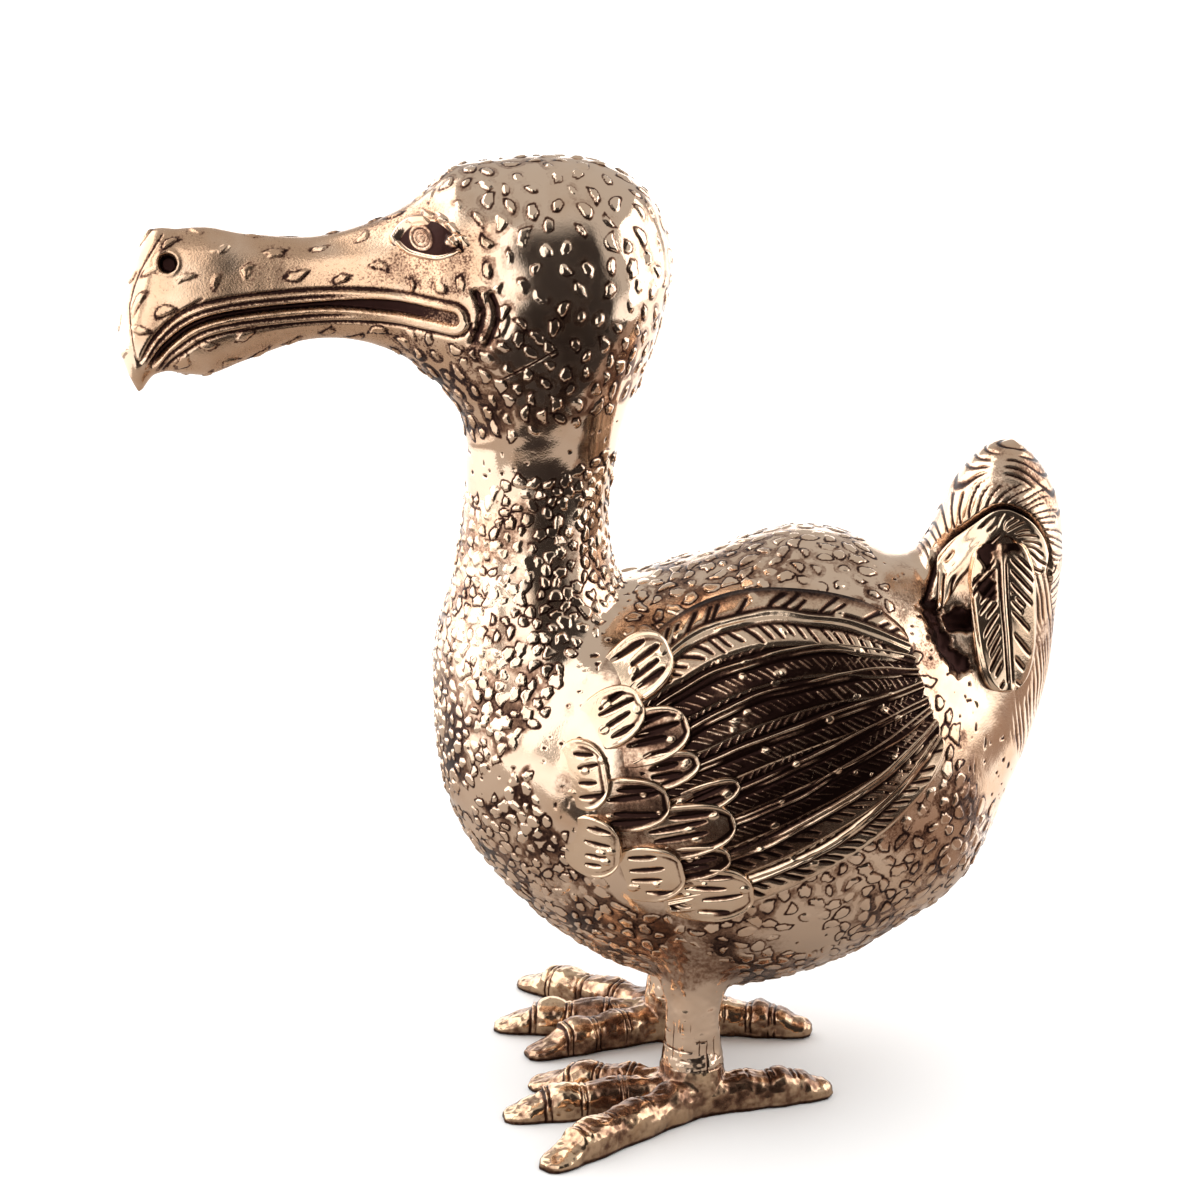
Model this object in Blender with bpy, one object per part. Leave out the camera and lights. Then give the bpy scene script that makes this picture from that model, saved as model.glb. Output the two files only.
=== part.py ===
"""A standing dodo, cast in bronze as hollow sections that sleeve into each other.

Sizes are millimetres, and MM turns them into metres. The bird faces -X, its left side is -Y and +Z is up.
"""

import math

import bmesh
import bpy
from mathutils import Matrix, Vector
from mathutils.bvhtree import BVHTree

MM = 0.001

# Body
BODY_FRONT_X = -53.0
BODY_LENGTH = 191.0
BODY_DEPTH = 154.0
BODY_HALF_WIDTH = 60.0

# Stance: the legs keep their share of the body
BELLY_CLEARANCE = 32.0
LEG_X = BODY_FRONT_X + 0.424 * BODY_LENGTH
LEG_SPACING = 0.967 * BODY_HALF_WIDTH

# Neck
NECK_HEIGHT = 50.5
NECK_LEAN = 26.5
NECK_HALF_WIDTH = 22.0
PEBBLE_LIFT = 0.9
PEBBLE_STEP = 8.0

# Head
SKULL_LENGTH = 85.0
SKULL_HEIGHT = 85.0
SKULL_HALF_WIDTH = 34.0
BILL_LENGTH = 87.0
BILL_DEPTH = 46.0
BILL_RISE = 18.6
BILL_HALF_WIDTH = 12.0

# Tail
TAIL_REACH = 48.0
TAIL_HEIGHT = 36.0
TAIL_HALF_WIDTH = 26.0

# Walls and sleeve joints
WALL = 3.5
JOINT_GAP = 0.3
SLEEVE_WALL = 2.5
SLEEVE_LENGTH = 12.0
PIN_RADIUS = 1.5
PIN_GAP = 0.2
PIN_SINK = 0.6

# Legs and their fixings
LEG_RADIUS = 10.0
LEG_FOOT_RADIUS = 11.5
LEG_TOP_RADIUS = 14.0
ANKLE_HEIGHT = 16.0
TENON_RADIUS = 6.0
TENON_LENGTH = 11.0
STUD_RADIUS = 4.0
STUD_GAP = 0.3
STUD_END = 2.0
BOSS_RADIUS = 10.0
BOSS_HEIGHT = 13.0
WASHER_RADIUS = 8.0
WASHER_THICKNESS = 1.6
NUT_ACROSS_FLATS = 13.0
NUT_THICKNESS = 6.5

# Wings: the box keeps its share of the body, from the breast and the belly
WING_BEHIND_BREAST = 0.194 * BODY_LENGTH
WING_ABOVE_BELLY = 0.26 * BODY_DEPTH
WING_LENGTH = 0.628 * BODY_LENGTH
WING_HEIGHT = 0.617 * BODY_DEPTH
FEATHER_COUNT = 8
FEATHER_HALF_WIDTH = 0.065 * WING_HEIGHT
FEATHER_LIFT = 3.2
SHAFT_HEIGHT = 1.0
SHAFT_SHARE = 0.24
COVERT_LIFT = 4.6
COVERT_RIM = 0.5
PEG_RADIUS = 2.5
PEG_GAP = 0.3

# Tail curls
CURL_HALF_WIDTH = 9.5
CURL_LIFT = 3.6
CURL_BAND_HALF_WIDTH = 4.0
CURL_BAND_LIFT = 2.6

# Face
EYE_HALF_LENGTH = 9.8
EYE_HALF_HEIGHT = 5.0
EYE_LIFT = 1.6
EYEBALL_RADIUS = 3.6
LIP_HALF_WIDTH = 2.0
LIP_LIFT = 1.2
MOUTH_HALF_WIDTH = 0.8
MOUTH_DEPTH = 2.0
NOSTRIL_RADIUS = 2.5
NOSTRIL_DEPTH = 5.0

# Feet: angles run outwards from straight ahead
MIDDLE_TOE_LENGTH = 62.0
MIDDLE_TOE_ANGLE = 6.5
OUTER_TOE_LENGTH = 66.0
OUTER_TOE_ANGLE = 40.0
INNER_TOE_LENGTH = 55.0
INNER_TOE_ANGLE = -20.0
HIND_TOE_LENGTH = 47.0
HIND_TOE_ANGLE = 192.0
TOE_HALF_WIDTH = 6.0
TOE_HEIGHT = 11.5
NAIL_LENGTH = 13.0
FOOT_HUB_RADIUS = 13.0

# Facets
AROUND = 18
STATION_STEP = 18.0
BORE_STEP = 30.0
TOE_SIDES = 8
COLLAR_SIDES = 12


class Hoop:
    """A cross-section: its low and high points in side view, and its half width."""

    def __init__(self, low, high, half_width):
        self.low = Vector(low)
        self.high = Vector(high)
        self.half_width = half_width

    def middle(self):
        return (self.low + self.high) / 2

    def grown(self, by):
        """The same hoop with its rim moved out by this much, or in if it is negative."""
        along = (self.high - self.low).normalized()
        return Hoop(self.low - along * by, self.high + along * by, self.half_width + by)

    def forward(self):
        """The unit normal of the hoop's plane, along the bird from bill to tail."""
        along = (self.high - self.low).normalized()
        return Vector((along.y, 0, -along.x))

    def rim(self, angle):
        """The point of the rim at this angle from its high point."""
        side = self.middle() + (self.high - self.low) / 2 * math.cos(angle)
        return Vector((side.x, self.half_width * math.sin(angle), side.y))

    def ring(self, slide=0.0):
        """Points all round the rim, slid along the hoop's normal."""
        points = [self.rim(2 * math.pi * step / AROUND) for step in range(AROUND)]
        return [point + self.forward() * slide for point in points]


def spline(a, b, c, d, share):
    """A value between b and c, on a smooth curve through all four."""
    return b + 0.5 * share * (
        c - a + share * (2 * a - 5 * b + 4 * c - d + share * (3 * (b - c) + d - a))
    )


class Chain:
    """The bird's hoops from bill to tail, read at any place between the first and the last."""

    def __init__(self, hoops):
        self.hoops = hoops
        self.end = len(hoops) - 1

    def at(self, place):
        first = min(max(int(place), 0), self.end - 1)
        four = [self.hoops[min(max(first + k, 0), self.end)] for k in (-1, 0, 1, 2)]
        share = place - first
        return Hoop(
            spline(*(hoop.low for hoop in four), share),
            spline(*(hoop.high for hoop in four), share),
            spline(*(hoop.half_width for hoop in four), share),
        )

    def beyond(self, place, distance):
        """The place whose middle lies this far along the chain, or back if it is negative."""
        start = self.at(place).middle()
        step = math.copysign(0.01, distance)
        while (self.at(place).middle() - start).length < abs(distance):
            place += step
        return place

    def stations(self, first, last, step=STATION_STEP):
        """Places from first to last, close enough together to show the curves."""
        places = [first]
        start = first
        while start < last:
            stop = min(math.floor(start) + 1, last)
            a, b = self.at(start), self.at(stop)
            longest = max((b.low - a.low).length, (b.high - a.high).length)
            count = max(1, round(longest / step))
            places += [start + (stop - start) * k / count for k in range(1, count + 1)]
            start = stop
        return places


# The side profile


def body_hoop(low, high, width):
    """A hoop in shares of the body's length, depth and half width."""
    corner = Vector((BODY_FRONT_X, BELLY_CLEARANCE))
    size = Vector((BODY_LENGTH, BODY_DEPTH))
    return Hoop(corner + Vector(low) * size, corner + Vector(high) * size, width * BODY_HALF_WIDTH)


def body_hoops():
    """From the seam with the neck to the seam with the tail."""
    return [
        body_hoop((0.022, 0.43), (0.33, 0.895), 0.72),
        body_hoop((0.150, 0.200), (0.42, 0.927), 0.87),
        body_hoop((0.31, 0.06), (0.58, 0.989), 0.97),
        body_hoop((0.46, 0.008), (0.65, 0.993), 1.00),
        body_hoop((0.63, 0.04), (0.715, 0.975), 0.97),
        body_hoop((0.76, 0.115), (0.764, 0.950), 0.88),
        body_hoop((0.895, 0.235), (0.790, 0.943), 0.73),
        body_hoop((0.990, 0.474), (0.805, 0.945), 0.52),
    ]


def head_seat(nape):
    """The middle of the head's seam, above the nape."""
    return nape + Vector((-NECK_LEAN, NECK_HEIGHT))


def skull_hoop(seat, low, high, width):
    """A hoop in shares of the skull's length, height and half width, from the seat of the head."""
    corner = seat - Vector((0.541 * SKULL_LENGTH, 0))
    size = Vector((SKULL_LENGTH, SKULL_HEIGHT))
    return Hoop(corner + Vector(low) * size, corner + Vector(high) * size, width * SKULL_HALF_WIDTH)


def bill_hoop(seat, low, high, width):
    """A hoop in shares of the bill's length, depth and half width, forward from the brow."""
    root = seat + Vector((-0.541 * SKULL_LENGTH, BILL_RISE))
    size = Vector((-BILL_LENGTH, BILL_DEPTH))
    return Hoop(root + Vector(low) * size, root + Vector(high) * size, width * BILL_HALF_WIDTH)


def head_hoops(seat):
    """From the hook of the bill over the skull to the seam with the neck."""
    return [
        bill_hoop(seat, (0.916, -0.09), (0.937, -0.12), 0.12),
        bill_hoop(seat, (0.905, -0.06), (0.977, 0.035), 0.45),
        bill_hoop(seat, (0.882, -0.01), (1.000, 0.25), 0.66),
        bill_hoop(seat, (0.855, 0.01), (0.963, 0.60), 0.80),
        bill_hoop(seat, (0.820, 0.02), (0.885, 0.96), 0.90),
        bill_hoop(seat, (0.755, 0.00), (0.776, 0.99), 0.98),
        bill_hoop(seat, (0.678, 0.00), (0.669, 1.00), 1.00),
        bill_hoop(seat, (0.540, 0.10), (0.530, 0.95), 0.97),
        bill_hoop(seat, (0.322, 0.22), (0.315, 0.92), 1.00),
        bill_hoop(seat, (0.144, 0.21), (0.152, 0.985), 1.20),
        bill_hoop(seat, (0.000, 0.11), (0.008, 1.09), 1.50),
        skull_hoop(seat, (0.092, 0.207), (0.102, 0.881), 0.68),
        skull_hoop(seat, (0.147, 0.162), (0.194, 0.960), 0.80),
        skull_hoop(seat, (0.191, 0.105), (0.375, 0.993), 0.92),
        skull_hoop(seat, (0.216, 0.068), (0.594, 1.000), 0.99),
        skull_hoop(seat, (0.224, 0.046), (0.775, 0.964), 1.00),
        skull_hoop(seat, (0.227, 0.022), (0.921, 0.855), 0.98),
        skull_hoop(seat, (0.231, 0.000), (0.999, 0.636), 0.94),
        skull_hoop(seat, (0.234, -0.022), (0.970, 0.415), 0.88),
        skull_hoop(seat, (0.237, -0.046), (0.905, 0.229), 0.81),
        skull_hoop(seat, (0.241, -0.068), (0.841, 0.068), 0.74),
    ]


def neck_hoops(top, base):
    """Waist, then swelling, in shares of a seam's depth, the neck's rise and its half width."""
    nape = base.high
    rise = top.middle().y - nape.y

    def hoop(seam, low, high, width):
        size = Vector((seam.low.x - seam.high.x, rise))
        return Hoop(nape + Vector(low) * size, nape + Vector(high) * size, width * NECK_HALF_WIDTH)

    return [
        hoop(top, (1.029, 0.75), (0.100, 0.80), 1.00),
        hoop(top, (1.024, 0.58), (0.137, 0.52), 0.98),
        hoop(top, (1.059, 0.35), (0.143, 0.32), 1.03),
        hoop(base, (0.969, 0.04), (0.102, 0.16), 1.18),
        hoop(base, (1.071, -0.51), (0.065, 0.04), 1.50),
    ]


def tail_hoops(seam):
    """From just behind the seam to the tip of the plume, in shares of its reach, height and half width."""
    size = Vector((TAIL_REACH, TAIL_HEIGHT))

    def hoop(low, high, width):
        return Hoop(
            seam.high + Vector(low) * size,
            seam.high + Vector(high) * size,
            width * TAIL_HALF_WIDTH,
        )

    return [
        hoop((0.920, -1.216), (0.112, 0.095), 1.00),
        hoop((0.975, -0.464), (0.208, 0.431), 0.90),
        hoop((0.998, -0.088), (0.256, 0.603), 0.80),
        hoop((1.000, 0.237), (0.341, 0.766), 0.69),
        hoop((0.959, 0.512), (0.427, 0.888), 0.55),
        hoop((0.871, 0.736), (0.532, 0.975), 0.37),
        hoop((0.784, 0.878), (0.656, 1.000), 0.16),
    ]


BODY_HOOPS = body_hoops()
HEAD_SEAT = head_seat(BODY_HOOPS[0].high)
HEAD_HOOPS = head_hoops(HEAD_SEAT)
NECK_HOOPS = neck_hoops(HEAD_HOOPS[-1], BODY_HOOPS[0])
TAIL_HOOPS = tail_hoops(BODY_HOOPS[-1])
CHAIN = Chain(HEAD_HOOPS + NECK_HOOPS + BODY_HOOPS + TAIL_HOOPS)
HEAD_SEAM = len(HEAD_HOOPS) - 1
NECK_SEAM = HEAD_SEAM + len(NECK_HOOPS) + 1
TAIL_SEAM = NECK_SEAM + len(BODY_HOOPS) - 1
BROW = len(HEAD_HOOPS) - 10


# Meshes


def object_of(name, mesh_builder):
    """A new object in the scene from a bmesh in millimetres, facing out."""
    bmesh.ops.triangulate(mesh_builder, faces=mesh_builder.faces)
    bmesh.ops.recalc_face_normals(mesh_builder, faces=mesh_builder.faces)
    if mesh_builder.calc_volume(signed=True) < 0:
        bmesh.ops.reverse_faces(mesh_builder, faces=mesh_builder.faces)
    mesh_builder.transform(Matrix.Scale(MM, 4))
    mesh = bpy.data.meshes.new(name)
    mesh_builder.to_mesh(mesh)
    mesh_builder.free()
    obj = bpy.data.objects.new(name, mesh)
    bpy.context.scene.collection.objects.link(obj)
    return obj


def tube(name, rings, wrap=False):
    """A skin over rings of equal count: joined end to end, or closed at both ends."""
    builder = bmesh.new()
    loops = [[builder.verts.new(point) for point in ring] for ring in rings]
    pairs = list(zip(loops, loops[1:]))
    if wrap:
        pairs.append((loops[-1], loops[0]))
    for a, b in pairs:
        count = len(a)
        for k in range(count):
            builder.faces.new((a[k], a[(k + 1) % count], b[(k + 1) % count], b[k]))
    if not wrap:
        for loop in (loops[0], loops[-1]):
            middle = sum((vert.co for vert in loop), Vector()) / len(loop)
            centre = builder.verts.new(middle)
            for k in range(len(loop)):
                builder.faces.new((loop[k], loop[(k + 1) % len(loop)], centre))
    return object_of(name, builder)


def rod(name, start, end, radius, sides=16):
    """A straight round bar."""
    axis = (end - start).normalized()
    across = axis.orthogonal().normalized()
    other = axis.cross(across)
    rings = []
    for point in (start, end):
        ring = []
        for k in range(sides):
            angle = 2 * math.pi * (k + 0.5) / sides
            ring.append(point + radius * (across * math.cos(angle) + other * math.sin(angle)))
        rings.append(ring)
    return tube(name, rings)


def triangulate(mesh):
    """Splits every face, so that rounding can't bend one, and tells whether the mesh is closed."""
    builder = bmesh.new()
    builder.from_mesh(mesh)
    bmesh.ops.triangulate(builder, faces=builder.faces)
    closed = all(edge.is_manifold for edge in builder.edges)
    builder.to_mesh(mesh)
    builder.free()
    return closed


def combine(obj, tool, operation):
    """Applies a Boolean by the first solver that leaves a closed mesh, and removes its tool."""
    modifier = obj.modifiers.new(operation.lower(), "BOOLEAN")
    modifier.operation = operation
    modifier.object = tool
    for solver in ("EXACT", "MANIFOLD"):
        modifier.solver = solver
        graph = bpy.context.evaluated_depsgraph_get()
        mesh = bpy.data.meshes.new_from_object(obj.evaluated_get(graph))
        if triangulate(mesh):
            break
    obj.modifiers.clear()
    old = obj.data
    mesh.name = old.name
    obj.data = mesh
    bpy.data.meshes.remove(old)
    discard(tool)


def discard(obj):
    mesh = obj.data
    bpy.data.objects.remove(obj)
    bpy.data.meshes.remove(mesh)


def cut(obj, *tools):
    for tool in tools:
        combine(obj, tool, "DIFFERENCE")


def join(obj, *tools):
    for tool in tools:
        combine(obj, tool, "UNION")


def mirrored(obj, name):
    """A copy of a left piece for the right side."""
    builder = bmesh.new()
    builder.from_mesh(obj.data)
    builder.transform(Matrix.Scale(-1, 4, Vector((0, 1, 0))) @ Matrix.Scale(1 / MM, 4))
    return object_of(name, builder)


class Skin:
    """An outer surface that reliefs are laid on."""

    def __init__(self, obj):
        self.tree = BVHTree.FromObject(obj, bpy.context.evaluated_depsgraph_get())

    def side(self, x, z, side):
        """The point and normal at this place in side view, on the left (-1) or the right (1)."""
        start = Vector((x, side * 3 * BODY_HALF_WIDTH, z)) * MM
        point, normal, _, _ = self.tree.ray_cast(start, Vector((0, -side, 0)))
        if point is None:
            raise ValueError(f"nothing lies at {x:.1f}, {z:.1f}")
        return point / MM, normal

    def under(self, x, y):
        """The height of the surface above this place on the ground."""
        point, _, _, _ = self.tree.ray_cast(Vector((x, y, 0)) * MM, Vector((0, 0, 1)))
        return point.z / MM


# Castings


def rings_at(places, grow=0.0):
    return [CHAIN.at(place).grown(grow).ring() for place in places]


def end_ring(place, grow, slide):
    return CHAIN.at(place).grown(grow).ring(slide)


def sleeve_places(seam, direction):
    """Places along a sleeve that passes a seam, starting at the seam."""
    half = CHAIN.beyond(seam, direction * SLEEVE_LENGTH / 2)
    full = CHAIN.beyond(seam, direction * SLEEVE_LENGTH)
    return [seam, half, full]


def outer_skin(name, first, last, grow=0.0):
    """A closed solid with the casting's outer shape."""
    return tube(name, rings_at(CHAIN.stations(first, last), grow))


def head_shell():
    """Solid through the bill, hollow through the skull and open at the neck."""
    half_gap = JOINT_GAP / 2
    outer = CHAIN.stations(0, HEAD_SEAM)[:-1]
    sleeve = sleeve_places(HEAD_SEAM, -1)
    inner = sleeve[1:] + CHAIN.stations(BROW, sleeve[-1], BORE_STEP)[-2::-1]
    rings = rings_at(outer)
    rings.append(end_ring(HEAD_SEAM, 0, -half_gap))
    rings.append(end_ring(HEAD_SEAM, -WALL, -half_gap))
    rings += rings_at(inner, -WALL)
    return tube("head", rings)


def pebbled_rings(places):
    """Rings whose points stand proud by turns, between a smooth ring at each end."""
    rings = rings_at(places)
    proud = rings_at(places, PEBBLE_LIFT)
    for row in range(1, len(places) - 1):
        for k in range(row % 2, AROUND, 2):
            rings[row][k] = proud[row][k]
    return rings


def neck_shell():
    """A tube with a sleeve at each end that steps in by the wall of its neighbour."""
    half_gap = JOINT_GAP / 2
    step_in = -WALL - JOINT_GAP
    bore = step_in - SLEEVE_WALL
    upper = sleeve_places(HEAD_SEAM, -1)
    lower = sleeve_places(NECK_SEAM, 1)
    rings = [end_ring(HEAD_SEAM, 0, half_gap)]
    rings += pebbled_rings(CHAIN.stations(HEAD_SEAM, NECK_SEAM, PEBBLE_STEP)[1:-1])
    rings.append(end_ring(NECK_SEAM, 0, -half_gap))
    rings.append(end_ring(NECK_SEAM, step_in, -half_gap))
    rings += rings_at(lower[1:], step_in)
    rings += rings_at(CHAIN.stations(upper[-1], lower[-1], BORE_STEP)[::-1], bore)
    rings += rings_at(upper[:0:-1], step_in)
    rings.append(end_ring(HEAD_SEAM, step_in, half_gap))
    return tube("neck", rings, wrap=True)


def body_shell():
    """A hollow casting, open at the neck and at the tail."""
    half_gap = JOINT_GAP / 2
    neck_sleeve = sleeve_places(NECK_SEAM, 1)
    tail_sleeve = sleeve_places(TAIL_SEAM, -1)
    between = CHAIN.stations(neck_sleeve[-1], tail_sleeve[-1], BORE_STEP)[1:-1]
    rings = [end_ring(NECK_SEAM, 0, half_gap)]
    rings += rings_at(CHAIN.stations(NECK_SEAM, TAIL_SEAM)[1:-1])
    rings.append(end_ring(TAIL_SEAM, 0, -half_gap))
    rings.append(end_ring(TAIL_SEAM, -WALL, -half_gap))
    rings += rings_at(tail_sleeve[1:] + between[::-1] + neck_sleeve[:0:-1], -WALL)
    rings.append(end_ring(NECK_SEAM, -WALL, half_gap))
    return tube("body", rings, wrap=True)


def tail_shell():
    """Hollow to near its tip, with a sleeve that enters the body."""
    half_gap = JOINT_GAP / 2
    step_in = -WALL - JOINT_GAP
    sleeve = sleeve_places(TAIL_SEAM, -1)
    hollow = CHAIN.stations(sleeve[-1], TAIL_SEAM + 3, BORE_STEP)
    rings = rings_at(hollow[::-1], step_in - SLEEVE_WALL)
    rings += rings_at(sleeve[:0:-1], step_in)
    rings.append(end_ring(TAIL_SEAM, step_in, half_gap))
    rings.append(end_ring(TAIL_SEAM, 0, half_gap))
    rings += rings_at(CHAIN.stations(TAIL_SEAM, CHAIN.end)[1:])
    return tube("tail", rings)


def lathe(name, x, y, profile, sides=18):
    """A turned solid on an upright axis, from its radius and height pairs."""
    rings = []
    for radius, height in profile:
        ring = []
        for k in range(sides):
            angle = 2 * math.pi * k / sides
            ring.append(Vector((x + radius * math.cos(angle), y + radius * math.sin(angle), height)))
        rings.append(ring)
    return tube(name, rings)


# Legs and feet


def leg_left(skin, belly):
    """A column that meets the belly, with a tenon below and a stud above."""
    x, y = LEG_X, -LEG_SPACING / 2
    foot = ANKLE_HEIGHT + JOINT_GAP
    surface = skin.under(x, y)
    leg = lathe(
        "leg_left",
        x,
        y,
        [
            (TENON_RADIUS, foot - TENON_LENGTH),
            (TENON_RADIUS, foot),
            (LEG_FOOT_RADIUS, foot),
            (LEG_RADIUS, foot + 0.35 * (surface - foot)),
            (LEG_RADIUS, foot + 0.6 * (surface - foot)),
            (LEG_TOP_RADIUS, surface),
            (LEG_TOP_RADIUS, surface + LEG_TOP_RADIUS),
        ],
    )
    cut(leg, belly)
    start = Vector((x, y, foot + 0.5 * (surface - foot)))
    join(leg, rod("stud", start, Vector((x, y, stud_top(skin))), STUD_RADIUS))
    return leg


def boss_top(skin):
    return skin.under(LEG_X, -LEG_SPACING / 2) + WALL + BOSS_HEIGHT


def nut_base(skin):
    return boss_top(skin) + WASHER_THICKNESS + 2 * JOINT_GAP


def stud_top(skin):
    return nut_base(skin) + NUT_THICKNESS + STUD_END


def toe(name, length, angle):
    """A toe with three pads and a nail, from the middle of the foot outwards."""
    pads = length - NAIL_LENGTH
    profile = [
        (0.0, 1.05, 1.15),
        (0.47 * pads, 0.90, 0.93),
        (0.60 * pads, 1.02, 1.0),
        (0.71 * pads, 0.88, 0.90),
        (0.84 * pads, 1.0, 0.97),
        (pads, 0.74, 0.80),
        (pads + 0.45 * NAIL_LENGTH, 0.58, 0.66),
        (pads + 0.85 * NAIL_LENGTH, 0.30, 0.42),
        (length, 0.10, 0.22),
    ]
    heading = Vector((-math.cos(angle), -math.sin(angle), 0))
    across = Vector((heading.y, -heading.x, 0))
    base = Vector((LEG_X, -LEG_SPACING / 2, 0))
    rings = []
    for distance, width, height in profile:
        ring = []
        for k in range(TOE_SIDES):
            turn = 2 * math.pi * k / TOE_SIDES
            rise = TOE_HEIGHT * height * (0.45 + 0.55 * math.sin(turn))
            reach = TOE_HALF_WIDTH * width * math.cos(turn)
            ring.append(base + heading * distance + across * reach + Vector((0, 0, rise)))
        rings.append(ring)
    return tube(name, rings)


def flatten_sole(obj):
    """Trims everything below the ground and closes the sole."""
    builder = bmesh.new()
    builder.from_mesh(obj.data)
    everything = builder.verts[:] + builder.edges[:] + builder.faces[:]
    sliced = bmesh.ops.bisect_plane(
        builder, geom=everything, plane_co=(0, 0, 0), plane_no=(0, 0, 1), clear_inner=True
    )
    rim = [item for item in sliced["geom_cut"] if isinstance(item, bmesh.types.BMEdge)]
    bmesh.ops.triangle_fill(builder, edges=rim, use_beauty=True)
    builder.to_mesh(obj.data)
    builder.free()


def foot_left():
    """Four toes round a hub that is bored for the leg's tenon."""
    x, y = LEG_X, -LEG_SPACING / 2
    foot = lathe(
        "foot_left",
        x,
        y,
        [
            (FOOT_HUB_RADIUS, -0.2 * ANKLE_HEIGHT),
            (FOOT_HUB_RADIUS, 0.45 * ANKLE_HEIGHT),
            (LEG_FOOT_RADIUS, ANKLE_HEIGHT),
        ],
    )
    for name, length, angle in (
        ("middle_toe", MIDDLE_TOE_LENGTH, MIDDLE_TOE_ANGLE),
        ("outer_toe", OUTER_TOE_LENGTH, OUTER_TOE_ANGLE),
        ("inner_toe", INNER_TOE_LENGTH, INNER_TOE_ANGLE),
        ("hind_toe", HIND_TOE_LENGTH, HIND_TOE_ANGLE),
    ):
        join(foot, toe(name, length, math.radians(angle)))
    flatten_sole(foot)
    floor = ANKLE_HEIGHT - TENON_LENGTH - JOINT_GAP
    socket = rod(
        "socket",
        Vector((x, y, floor)),
        Vector((x, y, ANKLE_HEIGHT + 5)),
        TENON_RADIUS + JOINT_GAP,
    )
    cut(foot, socket)
    return foot


# Reliefs


def along(points, share):
    """A place on the smooth curve through these points of the side view."""
    last = len(points) - 1
    first = min(int(share * last), last - 1)
    four = [Vector(points[min(max(first + k, 0), last)]) for k in (-1, 0, 1, 2)]
    return spline(*four, share * last - first)


def leaf(name, skin, side, points, half_width, profile, sink, count=5):
    """A blade along a curve of the side view, from this far under the skin.

    half_width takes a share of the length. The profile has shares of it, from the lower edge to the
    upper edge, each with its lift off the skin.
    """
    rings = []
    for step in range(count):
        share = step / (count - 1)
        place = along(points, share)
        ahead = along(points, min(share + 0.01, 1)) - along(points, max(share - 0.01, 0))
        across = Vector((-ahead.y, ahead.x)).normalized() * half_width(share)
        ring = []
        for offset, lift in [(-1, -sink), (0, -sink), (1, -sink), *reversed(profile)]:
            spot = place + across * offset
            point, normal = skin.side(spot.x, spot.y, side)
            ring.append(point + normal * lift)
        rings.append(ring)
    return tube(name, rings)


def ridge(lift, lower=0.0, upper=0.0):
    """A profile with its highest line in the middle and edges that lie this much lower."""
    return [(-1, lift - lower), (0, lift), (1, lift - upper)]


def blade(half_width):
    """Widths of a feather that narrows at its root and ends in a round tip."""

    def width(share):
        root = min(1, 0.55 + 2.2 * share)
        tip = min(1, max(0, (share - 0.7) / 0.3))
        return half_width * root * max(0.25, math.sqrt(1 - tip * tip))

    return width


def scale(half_width):
    """Widths of a broad covert with a round tip."""

    def width(share):
        tip = min(1, max(0, (share - 0.45) / 0.55))
        return half_width * (0.75 + 0.25 * min(1, share / 0.45)) * max(0.3, math.sqrt(1 - tip * tip))

    return width


def almond(half_width):
    """Widths that come to a point at both ends."""

    def width(share):
        return half_width * max(0.12, math.sin(math.pi * share))

    return width


def even(half_width):
    """The same width all along."""

    def width(share):
        return half_width

    return width


def peg(name, skin, side, place, outside, inside, radius):
    """A round peg square to the skin, from outside it to inside it."""
    point, normal = skin.side(place.x, place.y, side)
    return rod(name, point + normal * outside, point - normal * inside, radius, 12)


# Wings


def wing_place(u, v):
    """A place in side view from shares of the wing's length and height."""
    x = BODY_FRONT_X + WING_BEHIND_BREAST + u * WING_LENGTH
    return Vector((x, BELLY_CLEARANCE + WING_ABOVE_BELLY + v * WING_HEIGHT))


def feather_line(number):
    """Root, middle and tip of a long feather, counted from the back of the bird downwards."""
    share = number / (FEATHER_COUNT - 1)
    top = (wing_place(0.22, 0.79), wing_place(0.54, 0.985), wing_place(0.91, 0.885))
    bottom = (wing_place(0.37, 0.11), wing_place(0.70, 0.30), wing_place(0.985, 0.62))
    return [a.lerp(b, share) for a, b in zip(top, bottom)]


def coverts():
    """Root, tip and half width of each covert, from the second row to the front row."""
    return [
        (wing_place(0.17, 0.61), wing_place(0.335, 0.69), 0.079 * WING_HEIGHT),
        (wing_place(0.21, 0.31), wing_place(0.45, 0.39), 0.095 * WING_HEIGHT),
        (wing_place(0.09, 0.42), wing_place(0.285, 0.45), 0.084 * WING_HEIGHT),
        (wing_place(0.27, 0.10), wing_place(0.50, 0.15), 0.100 * WING_HEIGHT),
        (wing_place(0.14, 0.16), wing_place(0.325, 0.22), 0.100 * WING_HEIGHT),
        (wing_place(0.02, 0.275), wing_place(0.165, 0.275), 0.110 * WING_HEIGHT),
        (wing_place(0.01, 0.505), wing_place(0.13, 0.53), 0.116 * WING_HEIGHT),
        (wing_place(0.06, 0.645), wing_place(0.22, 0.745), 0.079 * WING_HEIGHT),
        (wing_place(0.12, 0.78), wing_place(0.30, 0.885), 0.079 * WING_HEIGHT),
    ]


def wing_pegs():
    """Where the wing's pegs stand: on the ribs of two feathers."""
    return [along(feather_line(number), 0.45) for number in (2, FEATHER_COUNT - 3)]


def feather_profile():
    """A shaft stands over two vanes, and the upper vane slopes under the feather above it."""
    vane = FEATHER_LIFT - SHAFT_HEIGHT
    return [(-1, vane + 0.4), (-SHAFT_SHARE, vane), (0, FEATHER_LIFT), (SHAFT_SHARE, vane), (1, vane - 1.0)]


def covert_profile(lift):
    """A raised rim on both sides of a shallow dish."""
    return [(-1, lift - 1.0), (-0.7, lift), (0, lift - COVERT_RIM), (0.7, lift), (1, lift - 1.0)]


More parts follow.
